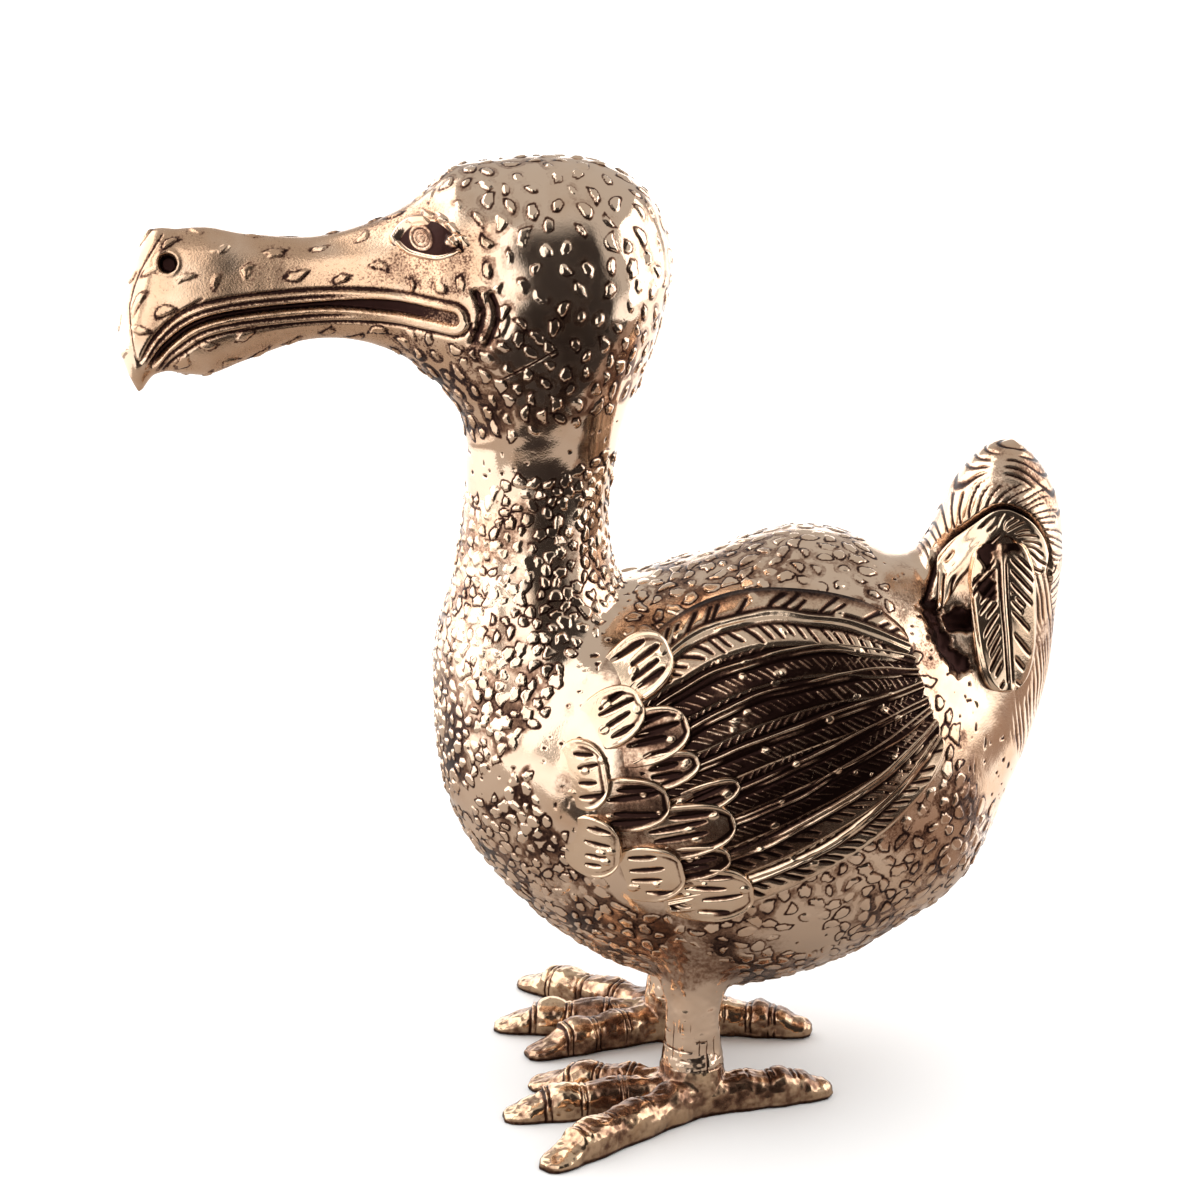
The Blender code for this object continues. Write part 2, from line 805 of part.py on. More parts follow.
def wing_left(skin, body_blank):
    """Long feathers, each over the next one down, with coverts over their roots and pegs behind."""
    wing = None
    for number in reversed(range(FEATHER_COUNT)):
        sink = 2.0 + 0.1 * number
        line = feather_line(number)
        feather = leaf("feather", skin, -1, line, blade(FEATHER_HALF_WIDTH), feather_profile(), sink)
        if wing:
            join(wing, feather)
        else:
            wing = feather
            wing.name = "wing_left"
    for number, (root, tip, half_width) in enumerate(coverts()):
        profile = covert_profile(COVERT_LIFT + 0.12 * number)
        line = [root, (root + tip) / 2, tip]
        join(wing, leaf("covert", skin, -1, line, scale(half_width), profile, 3 + 0.1 * number))
    cut(wing, body_blank)
    for place in wing_pegs():
        join(wing, peg("peg", skin, -1, place, 1.5, WALL + 1, PEG_RADIUS))
    return wing


# Tail curls


def curl_place(u, v):
    """A place on the tail in shares of its reach and height, from the top of its seam."""
    return BODY_HOOPS[-1].high + Vector((u * TAIL_REACH, v * TAIL_HEIGHT))


def curl_peg():
    return curl_place(0.517, -0.387)


def curl_left(skin, tail_blank):
    """A feather that arches over the side of the tail and hangs its tip down inside the arch."""
    arch = [
        curl_place(0.13, -0.09),
        curl_place(0.24, 0.16),
        curl_place(0.47, 0.44),
        curl_place(0.69, 0.31),
        curl_place(0.80, -0.06),
    ]
    tip = [curl_place(0.496, 0.198), curl_place(0.517, -0.387), curl_place(0.556, -1.09)]
    band = ridge(CURL_BAND_LIFT, 0.8, 1.0)
    curl = leaf("tail_curl_left", skin, -1, arch, even(CURL_BAND_HALF_WIDTH), band, 2.0, 11)
    join(curl, leaf("tip", skin, -1, tip, scale(CURL_HALF_WIDTH), ridge(CURL_LIFT, 1.2, 1.2), 2.3))
    cut(curl, tail_blank)
    join(curl, peg("peg", skin, -1, curl_peg(), 1.5, WALL, PEG_RADIUS))
    return curl


# Face


def bill_place(u, v):
    """A place in side view from shares of the bill's length and depth."""
    return bill_hoop(HEAD_SEAT, (u, v), (u, v), 1).low


def skull_place(u, v):
    return skull_hoop(HEAD_SEAT, (u, v), (u, v), 1).low


def add_face(head, skin):
    """Lips, mouth, eyes and nostrils on both sides."""
    upper = [(0.77, 0.42), (0.60, 0.52), (0.34, 0.57), (0.07, 0.585), (-0.18, 0.525)]
    mouth = [(0.84, 0.22), (0.67, 0.425), (0.34, 0.50), (0.07, 0.515), (-0.17, 0.46)]
    lower = [(0.77, 0.24), (0.60, 0.395), (0.34, 0.44), (0.07, 0.45), (-0.18, 0.41)]
    lip = even(LIP_HALF_WIDTH)
    lip_profile = ridge(LIP_LIFT, 0.4, 0.4)
    lid_profile = ridge(EYE_LIFT, 1.1, 1.1)
    mouth_profile = ridge(3 * LIP_LIFT)
    eye = skull_place(0.083, 0.744)
    corners = [eye + Vector((x * EYE_HALF_LENGTH, 0)) for x in (-1, 0, 1)]
    for side in (-1, 1):
        for points in (upper, lower):
            line = [bill_place(u, v) for u, v in points]
            join(head, leaf("lip", skin, side, line, lip, lip_profile, 1.5, 7))
        line = [bill_place(u, v) for u, v in mouth]
        cut(head, leaf("mouth", skin, side, line, even(MOUTH_HALF_WIDTH), mouth_profile, MOUTH_DEPTH, 7))
        join(head, leaf("lids", skin, side, corners, almond(EYE_HALF_HEIGHT), lid_profile, 1.8, 7))
        join(head, eyeball(skin, side, eye))
        nostril = bill_place(0.816, 0.793)
        cut(head, peg("nostril", skin, side, nostril, 5, NOSTRIL_DEPTH, NOSTRIL_RADIUS))


def eyeball(skin, side, place):
    """A low dome in the middle of the lids."""
    point, normal = skin.side(place.x, place.y, side)
    builder = bmesh.new()
    turn = Vector((0, 0, 1)).rotation_difference(normal).to_matrix().to_4x4()
    where = Matrix.Translation(point + normal * (EYE_LIFT - 0.8))
    flat = Matrix.Diagonal((1, 1, 0.5, 1))
    bmesh.ops.create_uvsphere(
        builder, u_segments=10, v_segments=5, radius=EYEBALL_RADIUS, matrix=where @ turn @ flat
    )
    return object_of("eyeball", builder)


# Fixings


def joint_pin(name, seam, direction, side, fitted):
    """A cross pin through a sleeve joint, or the longer tool that bores for it."""
    hoop = CHAIN.at(CHAIN.beyond(seam, direction * SLEEVE_LENGTH / 2))
    middle = hoop.middle()
    depth = WALL + JOINT_GAP + SLEEVE_WALL
    outside = hoop.half_width - PIN_SINK if fitted else hoop.half_width + 4
    inside = hoop.half_width - depth - (0.5 if fitted else 3)
    radius = PIN_RADIUS if fitted else PIN_RADIUS + PIN_GAP
    start = Vector((middle.x, side * outside, middle.y))
    end = Vector((middle.x, side * inside, middle.y))
    return rod(name, start, end, radius, 12)


def pin_joint(name, seam, direction, *castings):
    """Bores the castings of a joint on both sides and fits its pins."""
    for side, hand in ((-1, "left"), (1, "right")):
        for casting in castings:
            cut(casting, joint_pin("bore", seam, direction, side, False))
        joint_pin(f"{name}_{hand}", seam, direction, side, True)


def add_boss(body, skin, side):
    """A boss inside the belly, bored for the leg's stud."""
    x, y = LEG_X, side * LEG_SPACING / 2
    bottom = Vector((x, y, skin.under(x, y) - BOSS_RADIUS))
    top = Vector((x, y, boss_top(skin)))
    boss = rod("boss", bottom, top, BOSS_RADIUS)
    combine(boss, outer_skin("inside", NECK_SEAM, TAIL_SEAM, -WALL / 2), "INTERSECT")
    join(body, boss)
    cut(body, rod("bore", bottom, top + Vector((0, 0, 5)), STUD_RADIUS + STUD_GAP))


def collar(name, low, thickness, outline):
    """A plate on the left stud: outline takes an angle and gives the outer radius."""
    rings = []
    for height, inner in ((low, True), (low, False), (low + thickness, False), (low + thickness, True)):
        ring = []
        for k in range(COLLAR_SIDES):
            angle = 2 * math.pi * k / COLLAR_SIDES
            radius = STUD_RADIUS + STUD_GAP if inner else outline(angle)
            x = LEG_X + radius * math.cos(angle)
            ring.append(Vector((x, radius * math.sin(angle) - LEG_SPACING / 2, height)))
        rings.append(ring)
    return tube(name, rings, wrap=True)


def leg_fixings(skin):
    """The washer and nut on the left stud."""

    def round_edge(angle):
        return WASHER_RADIUS

    def hexagon(angle):
        flat = math.radians(60)
        return NUT_ACROSS_FLATS / 2 / math.cos(angle % flat - flat / 2)

    return (
        collar("leg_washer_left", boss_top(skin) + JOINT_GAP, WASHER_THICKNESS, round_edge),
        collar("leg_nut_left", nut_base(skin), NUT_THICKNESS, hexagon),
    )


# Materials and the whole bird


def material(name, colour, roughness):
    made = bpy.data.materials.new(name)
    made.use_nodes = True
    shader = made.node_tree.nodes["Principled BSDF"]
    shader.inputs["Base Color"].default_value = (*colour, 1)
    shader.inputs["Roughness"].default_value = roughness
    shader.inputs["Metallic"].default_value = 1.0
    return made


def dress(obj, finish):
    obj.data.materials.clear()
    obj.data.materials.append(finish)
    obj.data.shade_smooth()
    obj.data.set_sharp_from_angle(angle=math.radians(35))


def finish_all():
    """Gives every piece its metal."""
    bronze = material("bronze", (0.62, 0.45, 0.25), 0.28)
    feather_bronze = material("feather_bronze", (0.42, 0.29, 0.15), 0.34)
    foot_bronze = material("foot_bronze", (0.55, 0.38, 0.18), 0.32)
    pin_bronze = material("pin_bronze", (0.66, 0.50, 0.28), 0.25)
    steel = material("steel", (0.55, 0.56, 0.57), 0.35)
    for obj in bpy.context.scene.collection.objects:
        if "pin" in obj.name:
            dress(obj, pin_bronze)
        elif "washer" in obj.name or "nut" in obj.name:
            dress(obj, steel)
        elif "wing" in obj.name or "curl" in obj.name:
            dress(obj, feather_bronze)
        elif "foot" in obj.name:
            dress(obj, foot_bronze)
        else:
            dress(obj, bronze)


def clear_scene():
    for obj in list(bpy.data.objects):
        bpy.data.objects.remove(obj)


def centre():
    """Moves the bird so that the origin is under the middle of its length."""
    objects = bpy.context.scene.collection.objects
    reach = [vert.co.x for obj in objects for vert in obj.data.vertices]
    shift = Matrix.Translation((-(min(reach) + max(reach)) / 2, 0, 0))
    for obj in objects:
        obj.data.transform(shift)


def skin_of(first, last):
    blank = outer_skin("blank", first, last)
    skin = Skin(blank)
    discard(blank)
    return skin


def build():
    clear_scene()
    head, neck, body, tail = head_shell(), neck_shell(), body_shell(), tail_shell()
    body_skin = skin_of(NECK_SEAM, TAIL_SEAM)
    tail_skin = skin_of(TAIL_SEAM, CHAIN.end)
    add_face(head, skin_of(0, HEAD_SEAM))
    for side in (-1, 1):
        add_boss(body, body_skin, side)
        for place in wing_pegs():
            cut(body, peg("bore", body_skin, side, place, 5, WALL + 4, PEG_RADIUS + PEG_GAP))
        cut(tail, peg("bore", tail_skin, side, curl_peg(), 5, WALL + PEG_GAP, PEG_RADIUS + PEG_GAP))
    pin_joint("head_pin", HEAD_SEAM, -1, head, neck)
    pin_joint("neck_pin", NECK_SEAM, 1, neck, body)
    pin_joint("tail_pin", TAIL_SEAM, -1, tail, body)
    left_pieces = [
        wing_left(body_skin, outer_skin("blank", NECK_SEAM, TAIL_SEAM, JOINT_GAP)),
        curl_left(tail_skin, outer_skin("blank", TAIL_SEAM, CHAIN.end, JOINT_GAP)),
        leg_left(body_skin, outer_skin("blank", NECK_SEAM, TAIL_SEAM, JOINT_GAP)),
        foot_left(),
        *leg_fixings(body_skin),
    ]
    for piece in left_pieces:
        mirrored(piece, piece.name.replace("left", "right"))
    finish_all()
    centre()


build()
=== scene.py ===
# %% [markdown]
# # A dodo in polished bronze
# The bird keeps the sizes of the castings in the frame and stands where they stand. Over them goes the
# skin that the eye sees: one smooth surface, then punched pebbles, chased feathers, dark patina in
# the hollows, and painted shade under overhanging parts and along the floor.

# %% Load the frame
import math

import bpy
import numpy as np
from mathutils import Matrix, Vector, kdtree
from mathutils.bvhtree import BVHTree


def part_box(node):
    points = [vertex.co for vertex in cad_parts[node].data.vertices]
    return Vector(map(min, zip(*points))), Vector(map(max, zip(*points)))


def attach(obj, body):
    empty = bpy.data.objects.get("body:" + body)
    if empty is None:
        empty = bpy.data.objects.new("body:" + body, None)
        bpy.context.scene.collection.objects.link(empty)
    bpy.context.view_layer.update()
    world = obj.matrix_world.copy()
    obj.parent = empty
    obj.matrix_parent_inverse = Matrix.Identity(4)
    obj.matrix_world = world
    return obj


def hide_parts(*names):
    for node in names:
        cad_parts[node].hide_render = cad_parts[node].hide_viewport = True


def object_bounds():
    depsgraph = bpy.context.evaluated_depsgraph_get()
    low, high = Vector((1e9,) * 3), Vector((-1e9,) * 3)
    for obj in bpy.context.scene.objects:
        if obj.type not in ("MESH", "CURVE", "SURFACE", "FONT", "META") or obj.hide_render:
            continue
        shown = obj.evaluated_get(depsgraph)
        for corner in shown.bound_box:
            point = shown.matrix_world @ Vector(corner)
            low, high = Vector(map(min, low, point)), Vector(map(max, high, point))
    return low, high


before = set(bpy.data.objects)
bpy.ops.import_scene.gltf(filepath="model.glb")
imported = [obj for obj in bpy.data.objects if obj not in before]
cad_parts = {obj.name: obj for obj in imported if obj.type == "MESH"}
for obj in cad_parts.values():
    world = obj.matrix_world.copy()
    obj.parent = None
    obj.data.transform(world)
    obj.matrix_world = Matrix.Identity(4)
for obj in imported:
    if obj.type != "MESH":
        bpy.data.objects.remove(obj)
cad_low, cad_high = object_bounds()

MM = 0.001
rng = np.random.default_rng(11)
print("CAD box in mm:", [round((b - a) / MM, 1) for a, b in zip(cad_low, cad_high)])

# %% [markdown]
# ## Soft steps, bells and clouds
# Every surface here is an array of points in millimetres, so a shape is a sum over that array. A soft
# step makes an edge, a bell makes a bead or a groove, and a smooth random field gives the unevenness
# of hand work.

# %% Soft steps, bells and clouds


def step(low, high, value):
    """0 below low, 1 above high and a soft rise between. It falls where low is above high."""
    share = np.clip((value - low) / (high - low), 0, 1)
    return share * share * (3 - 2 * share)


def bell(value, width):
    """1 at zero, falling off on both sides over about this width."""
    return np.exp(-((value / width) ** 2))


def mix(first, second, share):
    """From the first value at share 0 to the second at share 1."""
    return first + (second - first) * share


def highest(*values):
    """The highest of several values at each place."""
    return np.maximum.reduce(values)


def chance(*keys):
    """A repeatable random number from 0 to 1 for each set of whole numbers."""
    total = sum(np.asarray(key) * factor for key, factor in zip(keys, (12.9898, 78.233, 37.719)))
    return np.sin(total + 4.1) * 43758.5453 % 1


def noise(points, size, seed=0):
    """A smooth random field from -1 to 1 with bumps of about this size."""
    grid = points / size + 31.7 * seed
    cell = np.floor(grid)
    part = grid - cell
    part = part * part * (3 - 2 * part)
    total = np.zeros(len(points))
    for corner in np.ndindex(2, 2, 2):
        weight = np.prod(np.where(corner, part, 1 - part), axis=1)
        total += weight * chance(*(cell + corner).T)
    return 2 * total - 1


print("Step at a third:", round(float(step(0, 1, 1 / 3)), 3), "and bell at its width:", round(bell(1, 1), 3))

# %% [markdown]
# ## Smooth lines
# A few points drawn on the side view become a smooth line. To cut a groove along it, every point of a
# surface asks how far off the line it lies, on which side, and how far along.

# %% Smooth lines


def curve(points, shares):
    """Places on the smooth line through these points, at shares from 0 to 1."""
    points = np.asarray(points, float)
    last = len(points) - 1
    first = np.clip((shares * last).astype(int), 0, last - 1)
    t = (shares * last - first)[:, None]
    a, b, c, d = (points[np.clip(first + k, 0, last)] for k in (-1, 0, 1, 2))
    return b + 0.5 * t * (c - a + t * (2 * a - 5 * b + 4 * c - d + t * (3 * (b - c) + d - a)))


def to_line(points, line):
    """Distance from the line, the side of it (1 is left of its run), and the share along it."""
    spots = curve(line, np.linspace(0, 1, 12 * (len(line) - 1) + 1))
    best = np.full(len(points), np.inf)
    side = np.ones(len(points))
    share = np.zeros(len(points))
    for k, (a, b) in enumerate(zip(spots, spots[1:])):
        run = b - a
        t = np.clip((points - a) @ run / (run @ run), 0, 1)
        off = points - a - t[:, None] * run
        distance = np.hypot(*off.T)
        near = distance < best
        best[near] = distance[near]
        side[near] = np.sign(run[0] * off[near, 1] - run[1] * off[near, 0])
        share[near] = (k + t[near]) / (len(spots) - 1)
    return best, side, share


print("A line through three points, at its half:", curve([(0, 0), (1, 1), (2, 0)], np.array([0.5]))[0])

# %% [markdown]
# ## Meshes from arrays
# Grids of points become meshes of four-sided faces. A tube is a grid that closes round its columns
# and comes to a point at both ends.

# %% Meshes from arrays


def make_object(name, points, quads):
    """A mesh object from points in millimetres and rows of four corners."""
    mesh = bpy.data.meshes.new(name)
    mesh.vertices.add(len(points))
    mesh.vertices.foreach_set("co", np.ravel(points * MM))
    mesh.loops.add(quads.size)
    mesh.loops.foreach_set("vertex_index", np.ravel(quads))
    mesh.polygons.add(len(quads))
    mesh.polygons.foreach_set("loop_start", np.arange(0, quads.size, 4))
    mesh.update(calc_edges=True)
    made = bpy.data.objects.new(name, mesh)
    bpy.context.scene.collection.objects.link(made)
    return made


def sheet(rows, columns, wrap=False):
    """Corners of the quads over a grid of points, closed round its columns if asked."""
    index = np.arange(rows * columns).reshape(rows, columns)
    if wrap:
        index = np.column_stack([index, index[:, 0]])
    corners = [index[:-1, :-1], index[:-1, 1:], index[1:, 1:], index[1:, :-1]]
    return np.stack(corners, axis=-1).reshape(-1, 4)


def closed_tube(rings):
    """Points and quads of a tube whose ends close to a point."""
    ends = rings[[0, -1]].mean(axis=1, keepdims=True).repeat(rings.shape[1], axis=1)
    rings = np.concatenate([ends[:1], rings, ends[1:]])
    return rings.reshape(-1, 3), sheet(*rings.shape[:2], wrap=True)


def merge(parts):
    """Several sets of points and quads as one."""
    starts = np.cumsum([0] + [len(points) for points, _ in parts])
    points = np.concatenate([points for points, _ in parts])
    return points, np.concatenate([quads + start for (_, quads), start in zip(parts, starts)])


print("A grid of 3 by 4 has", len(sheet(3, 4)), "quads, and", len(sheet(3, 4, True)), "when it wraps")

# %% [markdown]
# ## The side profile
# The bird is a chain of hoops from the hook of the bill to the tip of the tail, as a founder would
# set out the sections in wax. Each row holds a hoop's low point, its high point and its half width,
# in shares of the sizes of the casting it belongs to. The left leg in the frame tells where the bird
# stands.

# %% The side profile
BODY_LENGTH, BODY_DEPTH, BODY_HALF_WIDTH, BELLY_CLEARANCE = 191.0, 154.0, 60.0, 32.0
NECK_LEAN, NECK_HEIGHT, NECK_HALF_WIDTH = 26.5, 50.5, 22.0
SKULL_LENGTH, SKULL_HEIGHT, SKULL_HALF_WIDTH = 85.0, 85.0, 34.0
BILL_LENGTH, BILL_DEPTH, BILL_RISE, BILL_HALF_WIDTH = 87.0, 46.0, 18.6, 12.0
TAIL_REACH, TAIL_HEIGHT, TAIL_HALF_WIDTH = 48.0, 36.0, 26.0
LEG_PLACE = 0.424  # of the body's length
SEAM_PLACE = 0.541  # of the skull's length, at the middle of the seam under the head

leg_low, leg_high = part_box("leg_left")
LEG = np.array([leg_low.x + leg_high.x, leg_low.y + leg_high.y]) / 2 / MM
BODY_CORNER = np.array([LEG[0] - LEG_PLACE * BODY_LENGTH, BELLY_CLEARANCE])


def hoops(corner, size, half_width, rows):
    """Hoops in millimetres, from shares of a size."""
    rows = np.array(rows)
    return np.column_stack([np.tile(corner, 2) + rows[:, :4] * np.tile(size, 2), half_width * rows[:, 4]])


body_hoops = hoops(BODY_CORNER, (BODY_LENGTH, BODY_DEPTH), BODY_HALF_WIDTH, [
    (0.022, 0.430, 0.330, 0.895, 0.72), (0.150, 0.200, 0.420, 0.927, 0.87),
    (0.310, 0.060, 0.580, 0.989, 0.97), (0.460, 0.008, 0.650, 0.993, 1.00),
    (0.630, 0.040, 0.715, 0.975, 0.97), (0.760, 0.115, 0.764, 0.950, 0.88),
    (0.895, 0.235, 0.790, 0.943, 0.73), (0.990, 0.474, 0.805, 0.945, 0.52),
])
NAPE = body_hoops[0, 2:4]
HEAD_CORNER = NAPE + (-NECK_LEAN - SEAM_PLACE * SKULL_LENGTH, NECK_HEIGHT)
print("Leg at", LEG.round(2), "and nape at", NAPE.round(1))

# %% [markdown]
# ## Head, neck and tail
# The skull, the bill, the neck and the tail follow the body in the same way. The neck runs from the
# seam under the head to the seam on the body, so it takes its sizes from both.

# %% Head, neck and tail
bill_hoops = hoops(HEAD_CORNER + (0, BILL_RISE), (-BILL_LENGTH, BILL_DEPTH), BILL_HALF_WIDTH, [
    (0.916, -0.09, 0.937, -0.120, 0.12), (0.905, -0.06, 0.977, 0.035, 0.45),
    (0.882, -0.01, 1.000, 0.250, 0.66), (0.855, 0.01, 0.963, 0.600, 0.80),
    (0.820, 0.02, 0.885, 0.960, 0.90), (0.755, 0.00, 0.776, 0.990, 0.98),
    (0.678, 0.00, 0.669, 1.000, 1.00), (0.540, 0.10, 0.530, 0.950, 0.97),
    (0.322, 0.22, 0.315, 0.920, 1.00), (0.144, 0.21, 0.152, 0.985, 1.20),
    (0.000, 0.11, 0.008, 1.090, 1.50),
])
skull_hoops = hoops(HEAD_CORNER, (SKULL_LENGTH, SKULL_HEIGHT), SKULL_HALF_WIDTH, [
    (0.092, 0.207, 0.102, 0.881, 0.68), (0.147, 0.162, 0.194, 0.960, 0.80),
    (0.191, 0.105, 0.375, 0.993, 0.92), (0.216, 0.068, 0.594, 1.000, 0.99),
    (0.224, 0.046, 0.775, 0.964, 1.00), (0.227, 0.022, 0.921, 0.855, 0.98),
    (0.231, 0.000, 0.999, 0.636, 0.94), (0.234, -0.022, 0.970, 0.415, 0.88),
    (0.237, -0.046, 0.905, 0.229, 0.81), (0.241, -0.068, 0.841, 0.068, 0.74),
])
neck_rise = skull_hoops[-1, 1:4:2].mean() - NAPE[1]
seam_depths = [seam[0] - seam[2] for seam in (skull_hoops[-1], body_hoops[0])]
throat_hoops = hoops(NAPE, (seam_depths[0], neck_rise), NECK_HALF_WIDTH, [
    (1.029, 0.75, 0.100, 0.80, 1.00), (1.024, 0.58, 0.137, 0.52, 0.98), (1.059, 0.35, 0.143, 0.32, 1.03),
])
crop_hoops = hoops(NAPE, (seam_depths[1], neck_rise), NECK_HALF_WIDTH, [
    (0.969, 0.04, 0.102, 0.16, 1.18), (1.071, -0.51, 0.065, 0.04, 1.50),
])
TAIL_ROOT = body_hoops[-1, 2:4]
tail_hoops = hoops(TAIL_ROOT, (TAIL_REACH, TAIL_HEIGHT), TAIL_HALF_WIDTH, [
    (0.920, -1.216, 0.112, 0.095, 1.00), (0.975, -0.464, 0.208, 0.431, 0.90),
    (0.998, -0.088, 0.256, 0.603, 0.80), (1.000, 0.237, 0.341, 0.766, 0.69),
    (0.959, 0.512, 0.427, 0.888, 0.55), (0.871, 0.736, 0.532, 0.975, 0.37),
    (0.784, 0.878, 0.656, 1.000, 0.16),
])
chain = [bill_hoops, skull_hoops, throat_hoops, crop_hoops, body_hoops, tail_hoops]
HOOPS = np.concatenate(chain)


def loft(steps, around):
    """Rings over the whole chain, this many steps between hoops."""
    shares = np.linspace(0, 1, steps * (len(HOOPS) - 1) + 1)
    low_x, low_z, high_x, high_z, width = curve(HOOPS, shares).T[:, :, None]
    angle = np.linspace(0, 2 * np.pi, around, endpoint=False)
    rise = (1 + np.cos(angle)) / 2
    places = [mix(low_x, high_x, rise), width * np.sin(angle), mix(low_z, high_z, rise)]
    return np.stack(places, axis=2)


smooth_points, smooth_quads = closed_tube(loft(steps=8, around=160))
smooth = BVHTree.FromPolygons(smooth_points.tolist(), smooth_quads.tolist())
print("Profile:", len(HOOPS), "hoops,", len(smooth_points), "points")

# %% [markdown]
# ## Even skins
# A skin of small even squares can take fine work anywhere. Closed shapes are cut into little cubes
# and wrapped again, which gives that even net, and a few rounds of relaxing take out the stairs.

# %% Even skins


def fused(parts, size):
    """Points and quads of one even skin over closed shapes that overlap."""
    rough = make_object("rough", *merge(parts))
    modifier = rough.modifiers.new("even", "REMESH")
    modifier.mode = "VOXEL"
    modifier.voxel_size = size * MM
    graph = bpy.context.evaluated_depsgraph_get()
    mesh = bpy.data.meshes.new_from_object(rough.evaluated_get(graph))
    points = np.empty(3 * len(mesh.vertices))
    mesh.vertices.foreach_get("co", points)
    quads = np.empty(len(mesh.loops), int)
    mesh.loops.foreach_get("vertex_index", quads)
    bpy.data.objects.remove(rough)
    bpy.data.meshes.remove(mesh)
    return points.reshape(-1, 3) / MM, quads.reshape(-1, 4)


def relaxed(points, quads, rounds):
    """The same points, each drawn towards the middle of its neighbours and a little back."""
    ends = np.concatenate([quads[:, [k, (k + 1) % 4]] for k in range(4)])
    count = np.bincount(ends[:, 0], minlength=len(points))[:, None]
    for number in range(rounds):
        sums = [np.bincount(ends[:, 0], points[ends[:, 1], k], len(points)) for k in range(3)]
        pull = 0.5 if number % 2 == 0 else -0.52
        points = points + pull * (np.stack(sums, axis=1) / count - points)
    return points


def normals_of(points, quads):
    """The direction square to the skin at each point."""
    across = points[quads[:, 2]] - points[quads[:, 0]]
    along = points[quads[:, 3]] - points[quads[:, 1]]
    face = np.cross(across, along).repeat(4, axis=0)
    total = np.stack([np.bincount(np.ravel(quads), face[:, k], len(points)) for k in range(3)], axis=1)
    return total / np.maximum(np.linalg.norm(total, axis=1, keepdims=True), 1e-12)


SKIN_STEP = 0.48
skin, skin_quads = fused([(smooth_points, smooth_quads)], SKIN_STEP)
skin = relaxed(skin, skin_quads, rounds=12)
skin_normals = normals_of(skin, skin_quads)
side_view = skin[:, [0, 2]]
print("Skin:", len(skin), "points")

# %% [markdown]
# ## Which casting
# The planes of three seams part the skin into head, neck, body and tail. Each point keeps its
# distance past every plane, because the filed bands beside the seams need it later.

# %% Which casting
PLACES = ("head", "neck", "body", "tail")


def beyond(seam):
    """Distance of each point past a seam's plane, towards the tail."""
    along = seam[2:4] - seam[:2]
    along = along / np.linalg.norm(along)
    return (skin[:, 0] - seam[0]) * along[1] - (skin[:, 2] - seam[1]) * along[0]


SEAMS = (skull_hoops[-1], body_hoops[0], body_hoops[-1])
past_head, past_neck, past_tail = (beyond(seam) for seam in SEAMS)
place = np.select([past_head < 0, past_neck < 0, past_tail > 0], [0, 1, 3], 2)
on_head, on_neck, on_body, on_tail = (place == number for number in range(4))
on_front, on_rear = on_body | on_neck, on_body | on_tail
print("Points on each:", dict(zip(PLACES, np.bincount(place).tolist())))

# %% [markdown]
# ## Places on the face
# The mouth, the plate of the hook, the nostril and the eye are drawn on the side view. Pebbles keep
# off them, and the same distances shape them later. The drawing moves along with the head, and the
# eye's lids are drawn from its middle.

# %% Places on the face
DRAWN_HEAD_CORNER = (-62.30855, 220.33)
HEAD_SHIFT = HEAD_CORNER - DRAWN_HEAD_CORNER
MOUTH = np.add(HEAD_SHIFT, [
    (-141.0, 240.0), (-133.5, 250.4), (-120.3, 258.4), (-91.5, 262.0), (-68.0, 262.5), (-46.6, 260.4),
])
HOOK = np.add(HEAD_SHIFT, [
    (-134.5, 283.5), (-141.5, 273.0), (-144.6, 264.7), (-145.3, 259.0), (-143.0, 244.6),
    (-137.4, 252.2), (-130.7, 259.6), (-122.6, 264.5),
])
NOSTRIL = HEAD_SHIFT + (-133.0, 275.4)
EYE = HEAD_SHIFT + (-55.2, 283.6)
FAR = 99.0
LID = np.array([(-8.4, -0.95), (-6.1, 1.9), (-2.9, 4.1), (1.2, 5.0)])
ROPE = np.array([(0.8, 6.2), (5.0, 6.2), (8.8, 4.2), (12.1, 1.1), (15.8, -3.2)])
LOWER_LID = np.array([(-8.2, -1.2), (-5.6, -3.4), (-2.8, -4.6), (3.8, -5.2), (8.4, -3.9), (10.8, -2.6)])


def near_line(chosen, line):
    """Distance, side and share along a line, for chosen points of the skin. The others are far away."""
    distance, side, share = (np.full(len(skin), value) for value in (FAR, 1.0, 0.0))
    distance[chosen], side[chosen], share[chosen] = to_line(side_view[chosen], line)
    return distance, side, share


def inside_eye(u, w):
    """How far inside the lids a place lies, in millimetres."""
    upper = np.concatenate([LID, ROPE[1:4]])
    top = np.interp(u, *upper.T)
    low = np.interp(u, *LOWER_LID.T)
    return np.minimum.reduce([top - w, w - low, u - LID[0, 0], ROPE[3, 0] - u])


lip_distance, lip_side, lip_share = near_line(on_head, MOUTH)
hook_distance = near_line(on_head, HOOK)[0]
nostril_distance = np.where(on_head, np.hypot(*(side_view - NOSTRIL).T), FAR)
eye_inside = np.where(on_head, inside_eye(*(side_view - EYE).T), -FAR)
print("Points between the lids:", int((eye_inside > 0).sum()))

# %% [markdown]
# ## Places on the wing
# The wing is set out in shares of a box that keeps its place on the body. Two lines round the wing
# tell which points of the skin lie under the feathers.

# %% Places on the wing
WING_PLACE, WING_SHARE = (0.194, 0.26), (0.628, 0.617)  # of the body's length and depth
BODY_SIZE = np.array([BODY_LENGTH, BODY_DEPTH])
WING_CORNER = BODY_CORNER + WING_PLACE * BODY_SIZE
WING_SIZE = WING_SHARE * BODY_SIZE


def wing_places(*shares):
    """Side-view places from shares of the wing's box."""
    return WING_CORNER + np.array(shares) * WING_SIZE


